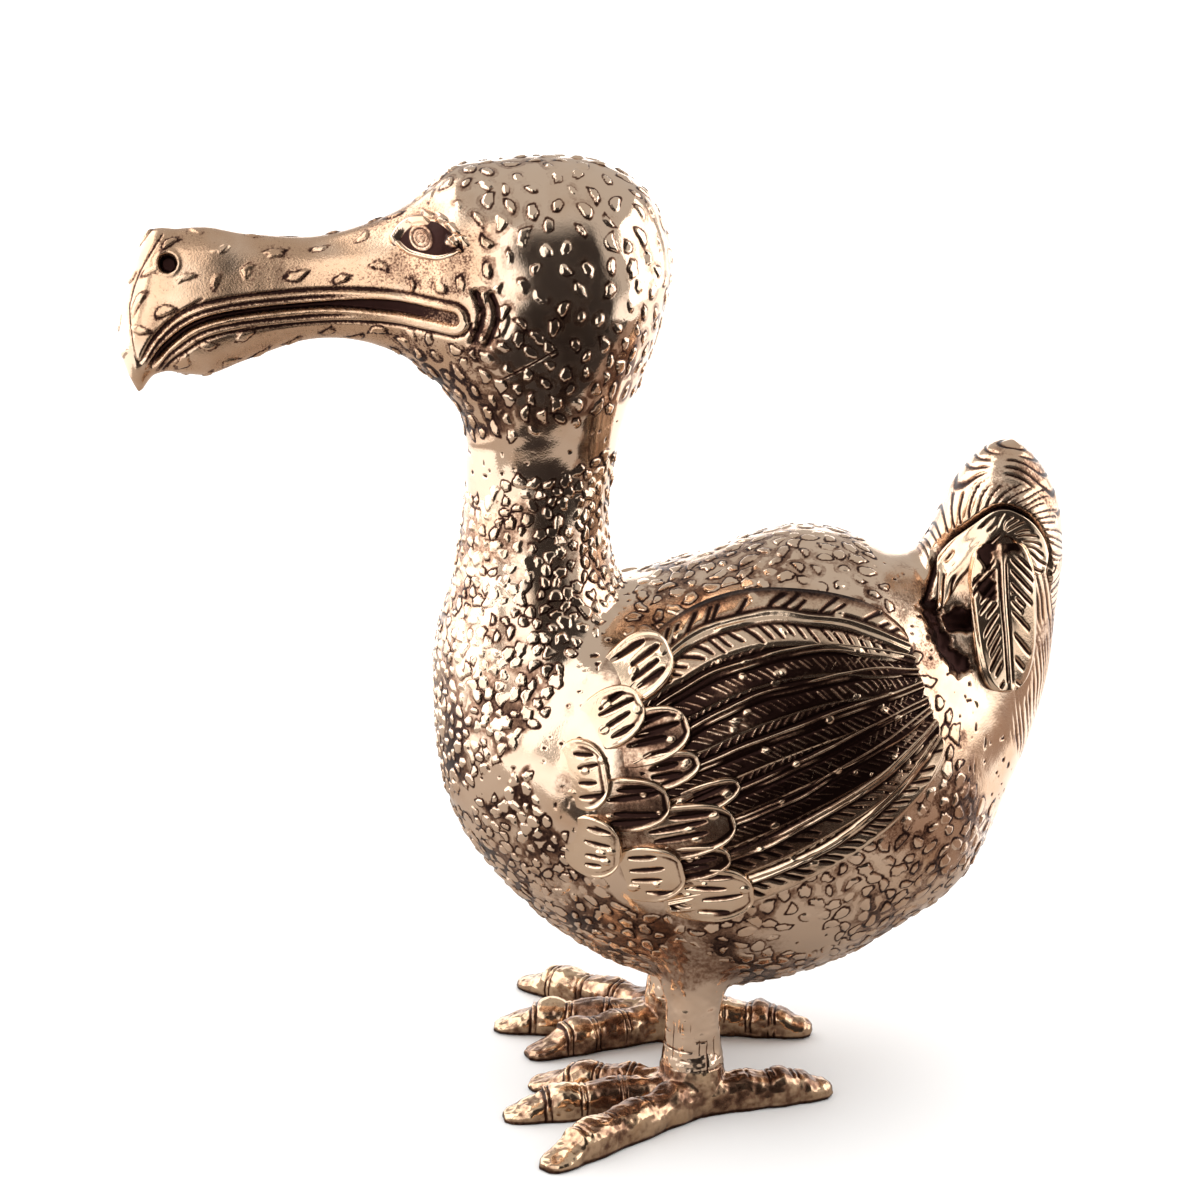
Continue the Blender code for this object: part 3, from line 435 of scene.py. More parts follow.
WING_TOP = wing_places(
    (0.0, 0.38), (0.0, 0.55), (0.05, 0.70), (0.11, 0.86), (0.31, 0.91), (0.49, 0.98), (0.64, 1.0),
    (0.88, 0.90), (1.0, 0.65),
)
WING_LOW = wing_places(
    (0.0, 0.38), (0.10, 0.18), (0.20, 0.06), (0.34, 0.0), (0.50, 0.08), (0.78, 0.28), (0.90, 0.42),
    (1.0, 0.65),
)
top_distance, top_side, _ = near_line(on_front, WING_TOP)
low_distance, low_side, _ = near_line(on_front, WING_LOW)
under_wing = (top_side < 0) & (low_side > 0) & on_front
wing_distance = np.where(under_wing, -1, 1) * np.minimum(top_distance, low_distance)
print("Points under the wings:", int(under_wing.sum()))

# %% [markdown]
# ## Planning the pebbles
# The maker punched the wax all over, so the metal is covered with little raised islands: long sparse
# drops on the bill, upright drops on the skull, crowded cobbles on the neck and breast, flat islands
# on the back. Each row of the plan has a place's spacing, half length, slimness and height, and every
# point of the skin takes its own values from it.

# %% Planning the pebbles
x, y, z = skin.T
on_bill = on_head * step(-55, -75, x)
on_throat = on_head * step(272, 250, z) * (1 - on_bill)
on_breast = on_body * step(5, -20, x + 0.25 * (z - 100))


def by_place(skull, throat, bill, neck, breast, back):
    """One value for each point, from the values of the places."""
    head = mix(mix(skull, throat, on_throat), bill, on_bill)
    return np.where(on_head, head, np.where(on_neck, neck, mix(back, breast, on_breast)))


PEBBLES = {
    "skull": (6.1, 2.1, 0.58, 0.50),
    "throat": (4.9, 2.0, 0.62, 0.48),
    "bill": (8.6, 2.7, 0.44, 0.50),
    "neck": (3.5, 1.75, 0.76, 0.50),
    "breast": (3.8, 1.85, 0.72, 0.45),
    "back": (4.9, 2.3, 0.66, 0.34),
}
plan = [dict(zip(PEBBLES, column)) for column in zip(*PEBBLES.values())]
spacing, half_length, slimness, tallness = (by_place(**values) for values in plan)
print("Spacing from", round(spacing.min(), 1), "to", round(spacing.max(), 1), "mm")

# %% [markdown]
# ## Room for pebbles
# No pebble stands on the lips, the eyes, the nostrils, the tail or under the feathers. Bands beside
# the seams were filed smooth, and bare patches are left on the back and round the wing.

# %% Room for pebbles
by_head_seam = np.where(on_head, step(2, 8, -past_head), step(6, 19, past_head + 3 * noise(skin, 9, 7)))
by_neck_seam = np.where(on_head, 1, step(1, 5, np.abs(past_neck) + 3 * noise(skin, 12, 3)))
bare = noise(skin, 26, 5) + 0.6 * noise(skin, 11, 6)
by_back = np.where(on_body, step(0.75, 0.4, bare * (1 - on_breast)) * step(-10, -18, past_tail), 1)
by_face = step(6.3, 8.0, lip_distance) * step(-4.5, -6.5, eye_inside) * step(3.4, 5.2, nostril_distance)
by_wing = step(-1, 3, wing_distance - 7 * step(30, -20, x) * step(95, 120, z))
room = by_head_seam * by_neck_seam * by_back * by_face * by_wing * step(0.5, 1.6, hook_distance)
room[on_tail] = 0
print("Share of the skin with pebbles:", round(float((room > 0.6).mean()), 2))

# %% [markdown]
# ## Throwing the pebbles
# Seeds are thrown at random and kept only where they stand clear of the seeds already kept. A tree
# of all points finds the neighbours of a seed quickly.

# %% Throwing the pebbles
tree = kdtree.KDTree(len(skin))
for number, point in enumerate(skin):
    tree.insert(point, number)
tree.balance()


def throw_seeds(tries):
    """Numbers of skin points that stand clear of each other."""
    order = rng.choice(len(skin), tries, replace=False)
    order = order[room[order] > rng.uniform(0.3, 0.9, tries)]
    kept = np.empty((len(order), 3))
    chosen = []
    for number in order:
        gap = kept[: len(chosen)] - skin[number]
        if not chosen or np.einsum("ij,ij->i", gap, gap).min() > spacing[number] ** 2:
            kept[len(chosen)] = skin[number]
            chosen.append(number)
    return chosen


seeds = throw_seeds(tries=150000)
print("Pebbles:", len(seeds))

# %% [markdown]
# ## Raising the pebbles
# Each pebble has its own length, turn, bend and height. Its outline wavers, its edge is crisp and its
# top leans a little, so each one catches the light differently. The skin also keeps the distance to
# the nearest pebble's edge, for the patina.

# %% Raising the pebbles
DOWN, ALONG_BILL = np.array([0.25, 0.0, -1.0]), np.array([1.0, 0.0, 0.45])
HEAD_TURN, BODY_TURN = 0.45, 1.0
lift = np.zeros(len(skin))
pebble_edge = np.full(len(skin), 9.0)


def pebble_axes(number):
    """Directions along and across a pebble on the skin: along the bill, and downwards elsewhere."""
    normal = skin_normals[number]
    down = mix(DOWN, ALONG_BILL, on_bill[number])
    along = down - normal * (down @ normal)
    along /= max(np.linalg.norm(along), 1e-6)
    across = np.cross(normal, along)
    turn = rng.normal(0, HEAD_TURN if on_head[number] else BODY_TURN)
    c, s = math.cos(turn), math.sin(turn)
    return along * c + across * s, across * c - along * s


def add_pebble(number):
    """Raises one pebble, and notes how near its edge the ground lies."""
    along, across = pebble_axes(number)
    half = half_length[number] * rng.uniform(0.7, 1.3)
    slim = half * slimness[number] * rng.uniform(0.75, 1.2)
    near = np.array([found[1] for found in tree.find_range(skin[number], half * 1.5 + 1.2)])
    offset = skin[near] - skin[number]
    u = offset @ along / half
    v = offset @ across / slim + rng.uniform(-0.6, 0.6) * (u * u - 0.3)
    angle = np.arctan2(v, u)
    waver = sum(rng.uniform(0, 0.14) * np.cos(k * angle + rng.uniform(0, 6.3)) for k in (1, 2, 3, 5))
    outside = (np.hypot(u, v) - 1 - waver) * slim
    lean = np.clip(1 + rng.normal(0, 0.3) * u + rng.normal(0, 0.3) * v, 0.4, 1.6)
    tall = tallness[number] * rng.uniform(0.7, 1.25)
    lift[near] = np.maximum(lift[near], tall * lean * step(0.2, -0.32, outside))
    pebble_edge[near] = np.minimum(pebble_edge[near], outside)


for number in seeds:
    add_pebble(number)
print("Highest pebble:", round(float(lift.max()), 2), "mm")

# %% [markdown]
# ## Patina beside the pebbles, and painted shade
# Patina lies in a thin broken line round every pebble, and fills some ground where pebbles crowd.
# Painted shade lies thick along the wing's lower edge, under the feathers and on the belly beside the legs.

# %% Patina and painted shade
OUTLINE_DARK = (0.7, 0.75, 0.5, 0.78, 0.8, 0.75)
broken = step(-0.75, 0.1, noise(skin, 5, 10))
outline = step(-0.2, 0.1, pebble_edge) * step(0.9, 0.35, pebble_edge) * broken
stain = np.clip(0.75 + 0.5 * noise(skin, 13, 8) + 0.35 * noise(skin, 4, 9), 0, 1)
crowded = step(-0.1, 0.35, pebble_edge) * step(2.6, 1.6, pebble_edge) * stain * room
neck_dark = mix(0.74, 0.42, step(120, 165, z))
ground_dark = by_place(0.4, 0.6, 0.1, neck_dark, breast=0.72, back=0.52)
# Painted shade along the wing's lower edge, where the wing overhangs the body.
along_wing = step(5, 0, np.abs(wing_distance)) * (low_distance < top_distance)
shade_below_wing = along_wing * step(0, 0.6, noise(skin, 6, 11) + 0.5) * room
# Painted shade on the belly beside each leg, below the wing.
leg_distance = np.hypot(x - LEG[0], np.abs(y) + LEG[1])
belly_shade_by_leg = on_body * step(46, 22, leg_distance) * step(85, 70, z) * step(-0.6, 0.5, noise(skin, 8, 15) + 0.3)
# Painted shade on the skin under the feathers.
shade_under_feathers = step(-3, -7, wing_distance) * step(-5, 12, x)
patina = highest(
    outline * by_place(*OUTLINE_DARK),
    crowded * ground_dark,
    0.55 * shade_below_wing,
    0.6 * belly_shade_by_leg * step(-0.2, 0.3, pebble_edge),
    0.9 * shade_under_feathers,
)
print("Mean patina:", round(float(patina.mean()), 2))

# %% [markdown]
# ## Satin, stains and waves
# A second layer, satin, tells where the polish was left dull: on the bill, the face and the rump. Faint
# stains make the metal look handled, and pits are left in the filed bands. Cast metal is never quite
# even, so the skin waves a little. It also swells under the front of the wing.

# %% Satin, stains and waves
WING_SWELL = 1.7
face = step(-30, -45, x) * step(300, 285, z)
satin = np.where(on_head, np.maximum(on_bill, face), 0.25 * step(0.2, -0.4, bare))
satin = np.maximum(satin * mix(1, 0.4, step(-134, -142, x)), 0.5 * step(70, 92, x) * on_rear)
cloudy = noise(skin, 13, 26) + 0.5 * noise(skin, 4, 27)
pits = step(0.6, 0.78, noise(skin, 1.9, 28)) * (1 - room) * on_front
by_eye = on_head * step(26, 10, np.hypot(*(side_view - EYE).T))
patina = highest(patina, 0.36 * step(0.1, 0.7, cloudy) * on_rear, 0.75 * pits, 0.2 * by_eye)
lift += 0.10 * noise(skin, 9, 1) + 0.03 * noise(skin, 3.2, 2) + 0.35 * noise(skin, 24, 4)
lift += 0.35 * step(0, -12, past_head) * (1 - on_bill) * on_head * noise(skin, 13, 29) - 0.25 * pits
lift += WING_SWELL * step(10, -4, wing_distance) * step(25, 0, x)
print("Mean patina with stains:", round(float(patina.mean()), 2))

# %% [markdown]
# ## The mouth
# The mouth is a long dark slit between two lips that run round its rear end in a loop. Near the tip
# each lip is split by a fine dark line. Behind, the slit widens into a shallow trough.

# %% The mouth


def shape_mouth():
    """Height and darkness round the mouth, by distance from its middle line."""
    front = step(0.0, 0.3, lip_share)
    above = lip_side < 0
    reach = np.where(above, 5.4, 4.6) * mix(0.62, 1, front)
    slit = 0.8 + 1.1 * step(0.6, 0.85, lip_share)
    plateau = step(slit, slit + 0.7, lip_distance) * step(reach, reach - 0.8, lip_distance)
    split_at = np.where(above, 3.2, 2.7) * mix(0.7, 1, front)
    split = bell(lip_distance - split_at, 0.6) * step(0.8, 0.6, lip_share)
    groove = bell(lip_distance - reach - 0.4, 0.6)
    inside = step(slit + 0.5, slit - 0.4, lip_distance)
    depth = mix(1.4, 0.9, step(0.85, 1.0, lip_share))
    shape = 0.8 * plateau - 0.6 * split - 0.5 * groove - depth * inside
    inside_dark = mix(0.95, 0.45, step(0.84, 0.97, lip_share))
    dark = highest(inside_dark * inside, 0.8 * groove, 0.8 * split)
    return shape, dark, step(0.02, 0.12, lip_share)


mouth_shape, mouth_dark, mouth_fade = shape_mouth()
lift += mouth_shape * mouth_fade
patina = np.maximum(patina, mouth_dark * mouth_fade)
print("Mouth shaped over", int((lip_distance < 6).sum()), "points")

# %% [markdown]
# ## Creases, hook and nostril
# Two deep creases and a faint one stand behind the corner of the mouth, and a long scratch runs below
# the cheek. The hooked plate at the tip has a fine line round it, and the nostril is drilled. The
# skin also sinks between the lids, which leaves room for the eye.

# %% Creases, hook and nostril
# Each crease has a line, a width and a depth.
CREASES = [
    ([(-40.4, 270.6), (-37.5, 262.5), (-41.0, 251.6)], 1.25, 1.3),
    ([(-35.6, 270.0), (-33.0, 262.0), (-36.8, 251.2)], 1.15, 1.2),
    ([(-31.2, 266.0), (-29.0, 261.0), (-31.4, 255.0)], 0.8, 0.25),
]
SCRATCH = [(-32.6, 241.3), (-23.2, 246.6), (-14.1, 252.4)]


def cut(line, width, depth, dark):
    """A soft groove along a line on the head."""
    distance, _, share = near_line(on_head, np.add(HEAD_SHIFT, line))
    mark = bell(distance, width) * step(0, 0.15, share) * step(1, 0.85, share)
    return -depth * mark, dark * mark


marks = [cut(line, width, depth, 0.9 * min(1, depth)) for line, width, depth in CREASES]
marks.append(cut(SCRATCH, 0.4, 0.2, 0.9))
marks.append((-0.3 * bell(hook_distance, 0.4), 0.6 * bell(hook_distance, 0.4)))
drill = step(2.9, 2.4, nostril_distance)
marks.append((0.3 * bell(nostril_distance - 3.5, 0.6) - 3.4 * drill, 1.0 * drill))
# The sunk skin between the lids is painted dark as the shade under the eye.
marks.append((-2.6 * step(-0.6, 0.6, eye_inside), 0.9 * step(-0.6, 0.2, eye_inside)))
lift += sum(shape for shape, _ in marks)
patina = highest(patina, *(dark for _, dark in marks))
print("Deepest mark:", round(float(lift.min()), 2), "mm")

# %% [markdown]
# ## The tail plume
# On each side a curled feather lies in a deep groove, painted dark as the shade under its arch. Short
# slanted strokes fan out beyond the groove, and broken lines flow round the plume to its tip. Two dark
# pockets are left below the curl.
# The drawing moves along with the tail.

# %% The tail plume
DRAWN_TAIL_ROOT = (100.90145, 177.53)
TAIL_SHIFT = TAIL_ROOT - DRAWN_TAIL_ROOT
GROOVE = np.add(TAIL_SHIFT, [
    (101.5, 166.5), (107.0, 178.0), (113.8, 187.0), (124.5, 195.6), (133.6, 193.0), (139.3, 185.3),
    (141.4, 175.5),
])
# Each pocket has a line and a radius.
POCKETS = [([(102.5, 166.5), (105.2, 158.5), (113.0, 148.0)], 2.6), ([(111.0, 162.0), (117.0, 160.5)], 3.8)]
groove_distance, groove_side, groove_share = near_line(on_rear, GROOVE)
outwards = np.where(groove_side > 0, groove_distance, -groove_distance)
near_curl = on_tail * step(0.5, 3.0, past_tail)


def strokes(along, pitch, width, seed):
    """Lines at this pitch, each a little off its place, and a random number for each."""
    turn = np.floor(along / pitch)
    luck = chance(turn, seed)
    return bell((along / pitch - turn - 0.35 - 0.3 * luck) * pitch, width), luck


waver = noise(skin, 9, 12)
fan, luck = strokes(74 * groove_share - 0.9 * outwards + 0.7 * waver, pitch=2.7, width=0.42, seed=31)
fan = fan * step(0.8, 1.6, outwards) * step(7 + 4 * luck, 5.5 + 4 * luck, outwards)
flow, _ = strokes(outwards + 1.4 * waver + 0.08 * np.abs(y), pitch=2.1, width=0.36, seed=33)
flow = flow * step(6, 9, outwards) * step(-0.8, -0.4, noise(skin * (1, 1, 0.6), 6, 13))
side_flow, _ = strokes(0.8 * x + 0.35 * z - 0.5 * np.abs(y) + 1.2 * waver, pitch=2.2, width=0.36, seed=35)
gaps = step(0.1, 0.5, noise(skin * (1, 1, 0.5), 7, 17) + 0.75)
side_flow = side_flow * gaps * step(0, 4, x - 129) * step(192, 184, z)
tail_lines = highest(fan, 0.9 * flow, 0.8 * side_flow * (outwards < 0)) * near_curl
trench_ends = step(0.0, 0.04, groove_share) * step(1.0, 0.97, groove_share)
# The trench is cut under the arch and painted dark as the shade there.
trench = bell(outwards + 0.3, 1.0) * trench_ends * on_rear
ragged = 1.3 * noise(skin, 4, 18) + 0.9 * noise(skin, 1.8, 19)
pockets = np.zeros(len(skin))
for line, radius in POCKETS:
    distance = near_line(on_rear, np.add(TAIL_SHIFT, line))[0] + ragged
    pockets = np.maximum(pockets, step(radius + 1.5, radius - 1.5, distance))
lift += near_curl * 1.2 * step(8, 2, outwards) * step(0.2, 1.4, outwards)
lift -= 0.4 * tail_lines + 1.3 * trench + (1.5 + 0.6 * noise(skin, 2.2, 34)) * pockets
patina = highest(patina, 0.85 * tail_lines, 0.95 * trench, 0.95 * pockets)
patina = np.maximum(patina, near_curl * 0.3 * step(-0.2, 0.6, noise(skin, 6, 20)))
print("Tail lines over", int(on_tail.sum()), "points")

# %% [markdown]
# ## The castings as pieces
# The worked skin is parted at the seams, so each casting keeps its own piece, and every face goes to
# one piece only. All the pieces take their shading from the whole skin, so the filed seams don't show.

# %% The castings as pieces
skin_made = skin + skin_normals * lift[:, None]
made_normals = normals_of(skin_made, skin_quads)


def give_layers(obj, **layers):
    """Named values for each point, which the finishes read."""
    for name, values in layers.items():
        layer = obj.data.attributes.new(name, "FLOAT", "POINT")
        layer.data.foreach_set("value", np.asarray(values, np.float32))
    obj.data.shade_smooth()


def own_piece(name, chosen, points, quads, normals, side=1, **layers):
    """The faces whose first point is chosen, as the piece of a node. Side -1 gives the mirror image."""
    used, index = np.unique(quads[chosen[quads[:, 0]]], return_inverse=True)
    faces = index.reshape(-1, 4)
    mirror = (1, side, 1)
    made = make_object(name + "_skin", points[used] * mirror, faces if side > 0 else faces[:, ::-1])
    give_layers(made, **{layer: values[used] for layer, values in layers.items()})
    made.data.normals_split_custom_set_from_vertices(normals[used] * mirror)
    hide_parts(name)
    return made


castings = [
    own_piece(name, place == number, skin_made, skin_quads, made_normals, patina=patina, satin=satin)
    for number, name in enumerate(PLACES)
]
print({made.name: len(made.data.polygons) for made in castings})

# %% [markdown]
# ## Leaves on the skin
# Feathers, scales, curls and eyes are laid on the bird like thin leaves. A leaf is a grid of places on
# the side view, most often along a line. Each point is dropped onto the smooth bird, then lifted square
# to it. The rim of the grid goes under the skin, which closes the leaf's edge.

# %% Leaves on the skin


def square_to(line):
    """Directions square to a line, to the left of its run, at each of its points."""
    ahead = np.gradient(line, axis=0)
    ahead /= np.linalg.norm(ahead, axis=1, keepdims=True)
    return np.column_stack([-ahead[:, 1], ahead[:, 0]])


def leaf_grid(line, half_width, rows, columns):
    """Side-view places of a grid along a line, with shares along it and across it, and half widths."""
    shares = np.linspace(0, 1, rows)
    middle = curve(line, shares)
    across = np.linspace(-1, 1, columns)
    width = half_width(shares)
    flat = middle[:, None] + square_to(middle)[:, None] * (width[:, None] * across)[..., None]
    return flat, *np.broadcast_arrays(shares[:, None], across, width[:, None])


def drop(flat):
    """The points of the left side of the smooth bird at these side-view places, and their normals."""
    points = np.empty((*flat.shape[:2], 3))
    normals = np.empty_like(points)
    for spot in np.ndindex(flat.shape[:2]):
        hit, normal, _, _ = smooth.ray_cast(Vector((flat[spot][0], -200, flat[spot][1])), Vector((0, 1, 0)))
        if hit is None:
            hit, normal, _, _ = smooth.find_nearest(Vector((flat[spot][0], -30, flat[spot][1])))
        points[spot] = hit
        normals[spot] = normal if normal.y < 0 else -normal
    for _ in range(2):
        padded = np.pad(normals, ((1, 1), (1, 1), (0, 0)), "edge")
        normals = padded[:-2, 1:-1] + padded[2:, 1:-1] + padded[1:-1, :-2] + padded[1:-1, 2:] + normals
        normals /= np.linalg.norm(normals, axis=2, keepdims=True)
    return points, normals


def leaf(flat, raised, dark, sink=1.0):
    """Points, quads and patina with painted shade of a leaf raised by this much over the left side."""
    points, normals = drop(flat)
    rim = ((1, 1), (1, 1))
    raised = np.pad(raised, rim, constant_values=-sink)
    dark = np.pad(np.clip(dark, 0, 1), rim, constant_values=0.9)
    dark[0] = dark[1]
    points, normals = (np.pad(grid, (*rim, (0, 0)), "edge") for grid in (points, normals))
    made = points + normals * raised[..., None]
    return made.reshape(-1, 3), sheet(*raised.shape), np.ravel(dark)


def both_sides(name, leaves, satin=0.2):
    """The leaves as one object on the left, and their mirror on the right."""
    points, quads = merge([(points, quads) for points, quads, _ in leaves])
    dark = np.concatenate([dark for _, _, dark in leaves])
    pair = []
    for hand, side in (("left", 1), ("right", -1)):
        faces = quads if side < 0 else quads[:, ::-1]
        made = make_object(f"{name}_{hand}_work", points * (1, side, 1), faces)
        give_layers(made, patina=dark, satin=satin * np.ones(len(dark)))
        pair.append(made)
    return pair


print("A grid of 5 by 3 along a line:", leaf_grid([(0, 0), (5, 1)], np.ones_like, rows=5, columns=3)[0].shape)

# %% [markdown]
# ## Marks in the feathers
# The graver leaves lens-shaped cuts, and between deep cuts the barbs stand as thin bright lines. Small
# drops of metal were left here and there. The long feathers take all three, and the scales the drops.

# %% Marks in the feathers


def barbs(a, b, width, pitch, seed):
    """Slanted marks on both sides of a shaft: thin lines that stand up, and cuts shaped like lenses."""
    slant = (a - 1.2 * np.abs(b)) / pitch
    turn = np.floor(slant)
    luck, more_luck = (chance(turn, seed + 3 * (b > 0), k) for k in (0, 7))
    off = (slant - turn - 0.3 - 0.4 * luck) * pitch
    inside = np.clip((np.abs(b) - 1.9) / np.maximum((width - 2.6) * (0.5 + 0.5 * more_luck), 0.3), 0, 1)
    belly = np.sqrt(np.maximum(4 * inside * (1 - inside), 1e-4))
    line = bell(off, 0.3) * step(0.02, 0.15, inside) * step(1, 0.85, inside) * (0.55 + 0.45 * luck)
    return line, bell(off, 0.25 + 0.5 * belly) * step(0.25, 0.5, belly) * (luck > 0.15)


def drops(a, b, long, half, count):
    """Small drops of metal scattered over a leaf."""
    total = np.zeros_like(a)
    for _ in range(count):
        middle = rng.uniform(0.15, 0.9) * long, rng.uniform(-0.8, 0.8) * half
        size = rng.uniform(0.8, 1.6)
        total = np.maximum(total, step(size, 0.4 * size, np.hypot((a - middle[0]) / 1.3, b - middle[1])))
    return total


trial = barbs(np.array(9.0), np.array(3.5), width=7.0, pitch=3.0, seed=1)
print("A line and a cut, tried on one spot:", [round(float(mark), 2) for mark in trial])

# %% [markdown]
# ## Long feathers
# Eight long feathers sweep back, each lying over the next one down, and painted shade darkens each one
# where it tucks under the one above. A shaft of two fine ridges runs along each. The middle feathers are
# dark with bright barbs. The outer ones are bright with dark cuts.

# %% Long feathers
FEATHER_TOP = wing_places((0.16, 0.74), (0.54, 0.985), (0.91, 0.885))
FEATHER_LOW = wing_places((0.29, 0.08), (0.70, 0.30), (0.985, 0.62))
FEATHER_HALF_WIDTH = 0.078 * WING_SIZE[1]
SHAFT_HALF_GAP, RIDGE_WIDTH = 0.75, 0.36
DARKNESS = (0.22, 0.76, 0.80, 0.84, 0.84, 0.78, 0.40, 0.22)


def feather_width(share):
    """Half width along a feather: narrow at the root, round at the tip."""
    root = np.minimum(1, 0.6 + 2.0 * share)
    tip = np.clip((share - 0.8) / 0.2, 0, 1)
    return FEATHER_HALF_WIDTH * root * np.sqrt(np.maximum(1 - tip ** 2, 0.004))


def bow(points):
    """More points on the even bow through three points."""
    t = np.linspace(0, 1, 9)[:, None]
    a, b, c = points
    return (1 - t) * (1 - 2 * t) * a + 4 * t * (1 - t) * b + t * (2 * t - 1) * c


def clouds(flat, size, seed):
    """A smooth random field over a leaf."""
    spots = np.dstack([flat, np.zeros(flat.shape[:2])]).reshape(-1, 3)
    return noise(spots, size, seed).reshape(flat.shape[:2])


def feather(number):
    """One long feather, counted from the top of the wing."""
    line = bow(mix(FEATHER_TOP, FEATHER_LOW, number / (len(DARKNESS) - 1)) + rng.normal(0, 0.5, (3, 2)))
    flat, s, v, width = leaf_grid(line, feather_width, rows=220, columns=48)
    long = 1.06 * np.linalg.norm(line[-1] - line[0])
    waver = clouds(flat, 9, 41 + number)
    a = s * long + 1.6 * waver
    b = v * width + 0.7 * clouds(flat, 12, 51 + number)
    black = step(0.6, 0.75, DARKNESS[number])
    line_marks, lens_marks = barbs(a, b, width, pitch=mix(4.2, 2.7, black), seed=50 + number)
    metal = drops(a, b, long, FEATHER_HALF_WIDTH, count=5)
    upper_ridge = bell(b - SHAFT_HALF_GAP, RIDGE_WIDTH) * step(-0.9, -0.2, clouds(flat, 10, 61 + number))
    lower_ridge = bell(b + SHAFT_HALF_GAP, RIDGE_WIDTH) * step(-0.4, 0.3, waver)
    shaft = np.maximum(upper_ridge, lower_ridge)
    gutter = bell(np.abs(b) - 1.8, 0.5)
    edge = step(1.1, 0.2, width - np.abs(v * width))
    vane = 2.2 + 0.4 * step(-0.3, -1, v) - 1.0 * step(0.3, 1, v)
    marks = mix(-0.7 * lens_marks, 0.5 * line_marks - 0.2, black) * step(1, 0.85, s)
    raised = vane + 0.8 * shaft - 0.4 * gutter + marks + 0.4 * metal - 0.5 * edge
    # The upper strip of each feather, tucked under the feather above, is darkened as painted shade.
    dark = DARKNESS[number] + 0.2 * clouds(flat, 14, 71 + number) + 0.5 * gutter + 0.4 * step(0.5, 1, v)
    dark = np.minimum(dark + mix(0.8 * lens_marks, 0 * s, black), 1)
    lower_rim = bell(v + 0.93, 0.05)
    bright = highest(0.75 * shaft, 0.85 * metal, 0.8 * line_marks * black, 0.7 * lower_rim)
    return leaf(flat, raised, dark * (1 - bright))


feathers = [feather(number) for number in reversed(range(len(DARKNESS)))]
print("Feathers:", len(feathers), "with", len(feathers[0][0]), "points each")

# %% [markdown]
# ## Scales over the roots
# Broad scales cover the roots of the feathers. Each has a thin rim round its free end, a few cuts
# and drops of metal, and rises out of the smooth band at the front of the wing. The inner six are dark.

# %% Scales over the roots
INNER = 6
# Each scale has its root and its tip on the wing, and its half width as a share of the wing's height.
SCALES = [
    ((0.17, 0.50), (0.36, 0.58), 0.060), ((0.27, 0.40), (0.46, 0.51), 0.052),
    ((0.22, 0.20), (0.44, 0.27), 0.066), ((0.13, 0.60), (0.335, 0.69), 0.085),
    ((0.17, 0.30), (0.45, 0.39), 0.095), ((0.08, 0.41), (0.285, 0.45), 0.090),
    ((0.27, 0.10), (0.50, 0.15), 0.105), ((0.14, 0.16), (0.325, 0.22), 0.105),
    ((0.02, 0.275), (0.165, 0.275), 0.11), ((0.01, 0.505), (0.13, 0.53), 0.116),
    ((0.06, 0.645), (0.22, 0.745), 0.084), ((0.12, 0.78), (0.30, 0.885), 0.084),
]


def scale_slots(s, across, half):
    """A few cuts along a scale, thick in the middle and pointed at both ends."""
    total = np.zeros_like(across)
    for k in range(4):
        off = across - (k - 1.5) * half * 0.4 - rng.normal(0, 0.5) - rng.uniform(-3, 3) * (s - 0.5)
        start, stop = rng.uniform(0.25, 0.45), rng.uniform(0.65, 0.88)
        inside = np.clip((s - start) / (stop - start), 0, 1)
        slot = bell(off, 0.15 + 1.2 * np.sqrt(inside * (1 - inside)))
        total = np.maximum(total, slot * (inside > 0) * (inside < 1))
    return total


def scale(number):
    """One scale. The later ones stand a little higher and lie over the earlier ones."""
    root, tip = wing_places(*SCALES[number][:2])
    half = SCALES[number][2] * WING_SIZE[1]
    long = np.linalg.norm(tip - root)

    def width(share):
        return half * np.sqrt(np.maximum(1 - ((share - 0.45) / 0.55) ** 2, 0.004))

    flat, s, v, wide = leaf_grid([root, (root + tip) / 2, tip], width, rows=110, columns=80)
    to_edge = np.minimum((1 - np.abs(v)) * wide, (1 - s) * long)
    slots = scale_slots(s, v * wide, half) * step(1.6, 2.6, to_edge)
    metal = drops(s * long, v * wide, long, 0.6 * half, count=3)
    rim = step(1.6, 0.9, to_edge) * step(0.0, 0.4, to_edge) * step(0.3, 0.6, s)
    rise = mix(1.5 if number < INNER else 1.0, 3.8 + 0.08 * number, step(0, 0.8, s))
    raised = rise + 0.3 * rim + 0.5 * metal - 0.7 * slots - 0.6 * step(0.6, 0, to_edge)
    ground = 0.48 if number < INNER else 0.08
    dark = ground + 0.25 * clouds(flat, 6, 81 + number) + 0.85 * slots
    dark += 0.45 * step(1.8, 2.4, to_edge) * step(3.6, 2.6, to_edge) * step(0.4, 0.6, s)
    return leaf(flat, raised, dark * (1 - 0.8 * metal) * (1 - 0.7 * rim))


scales = [scale(number) for number in range(len(SCALES))]
wings = both_sides("wing", feathers + scales)
for piece, name in zip(wings, ("wing_left", "wing_right")):
    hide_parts(name)
print("Wing:", len(wings[0].data.polygons), "faces each")

# %% [markdown]
# ## The tail curls
# The curled feather arches over inside its groove and hangs its tip down like a leaf. The band of the
# arch carries long strokes, and the leaf has a double line for its rib and slanted cuts on both sides.

# %% The tail curls
HANGING = np.add(TAIL_SHIFT, [(125.4, 185.0), (126.0, 163.5), (127.0, 138.3)])
BAND_LENGTH, BAND_HALF_WIDTH, BAND_INSET = 58.0, 3.7, 4.7
HANGING_LENGTH, HANGING_HALF_WIDTH = 47.0, 10.0


def inset(line, distance):
    """A line moved to the right of its run."""
    spots = curve(line, np.linspace(0, 1, 2 * len(line)))
    return spots - distance * square_to(spots)


def band_width(share):
    """Half width along the band, which narrows at both ends."""
    root = np.clip(share / 0.2, 0.02, 1)
    tip = np.clip((1 - share) / 0.1, 0.02, 1)
    return BAND_HALF_WIDTH * np.sqrt(root * tip)


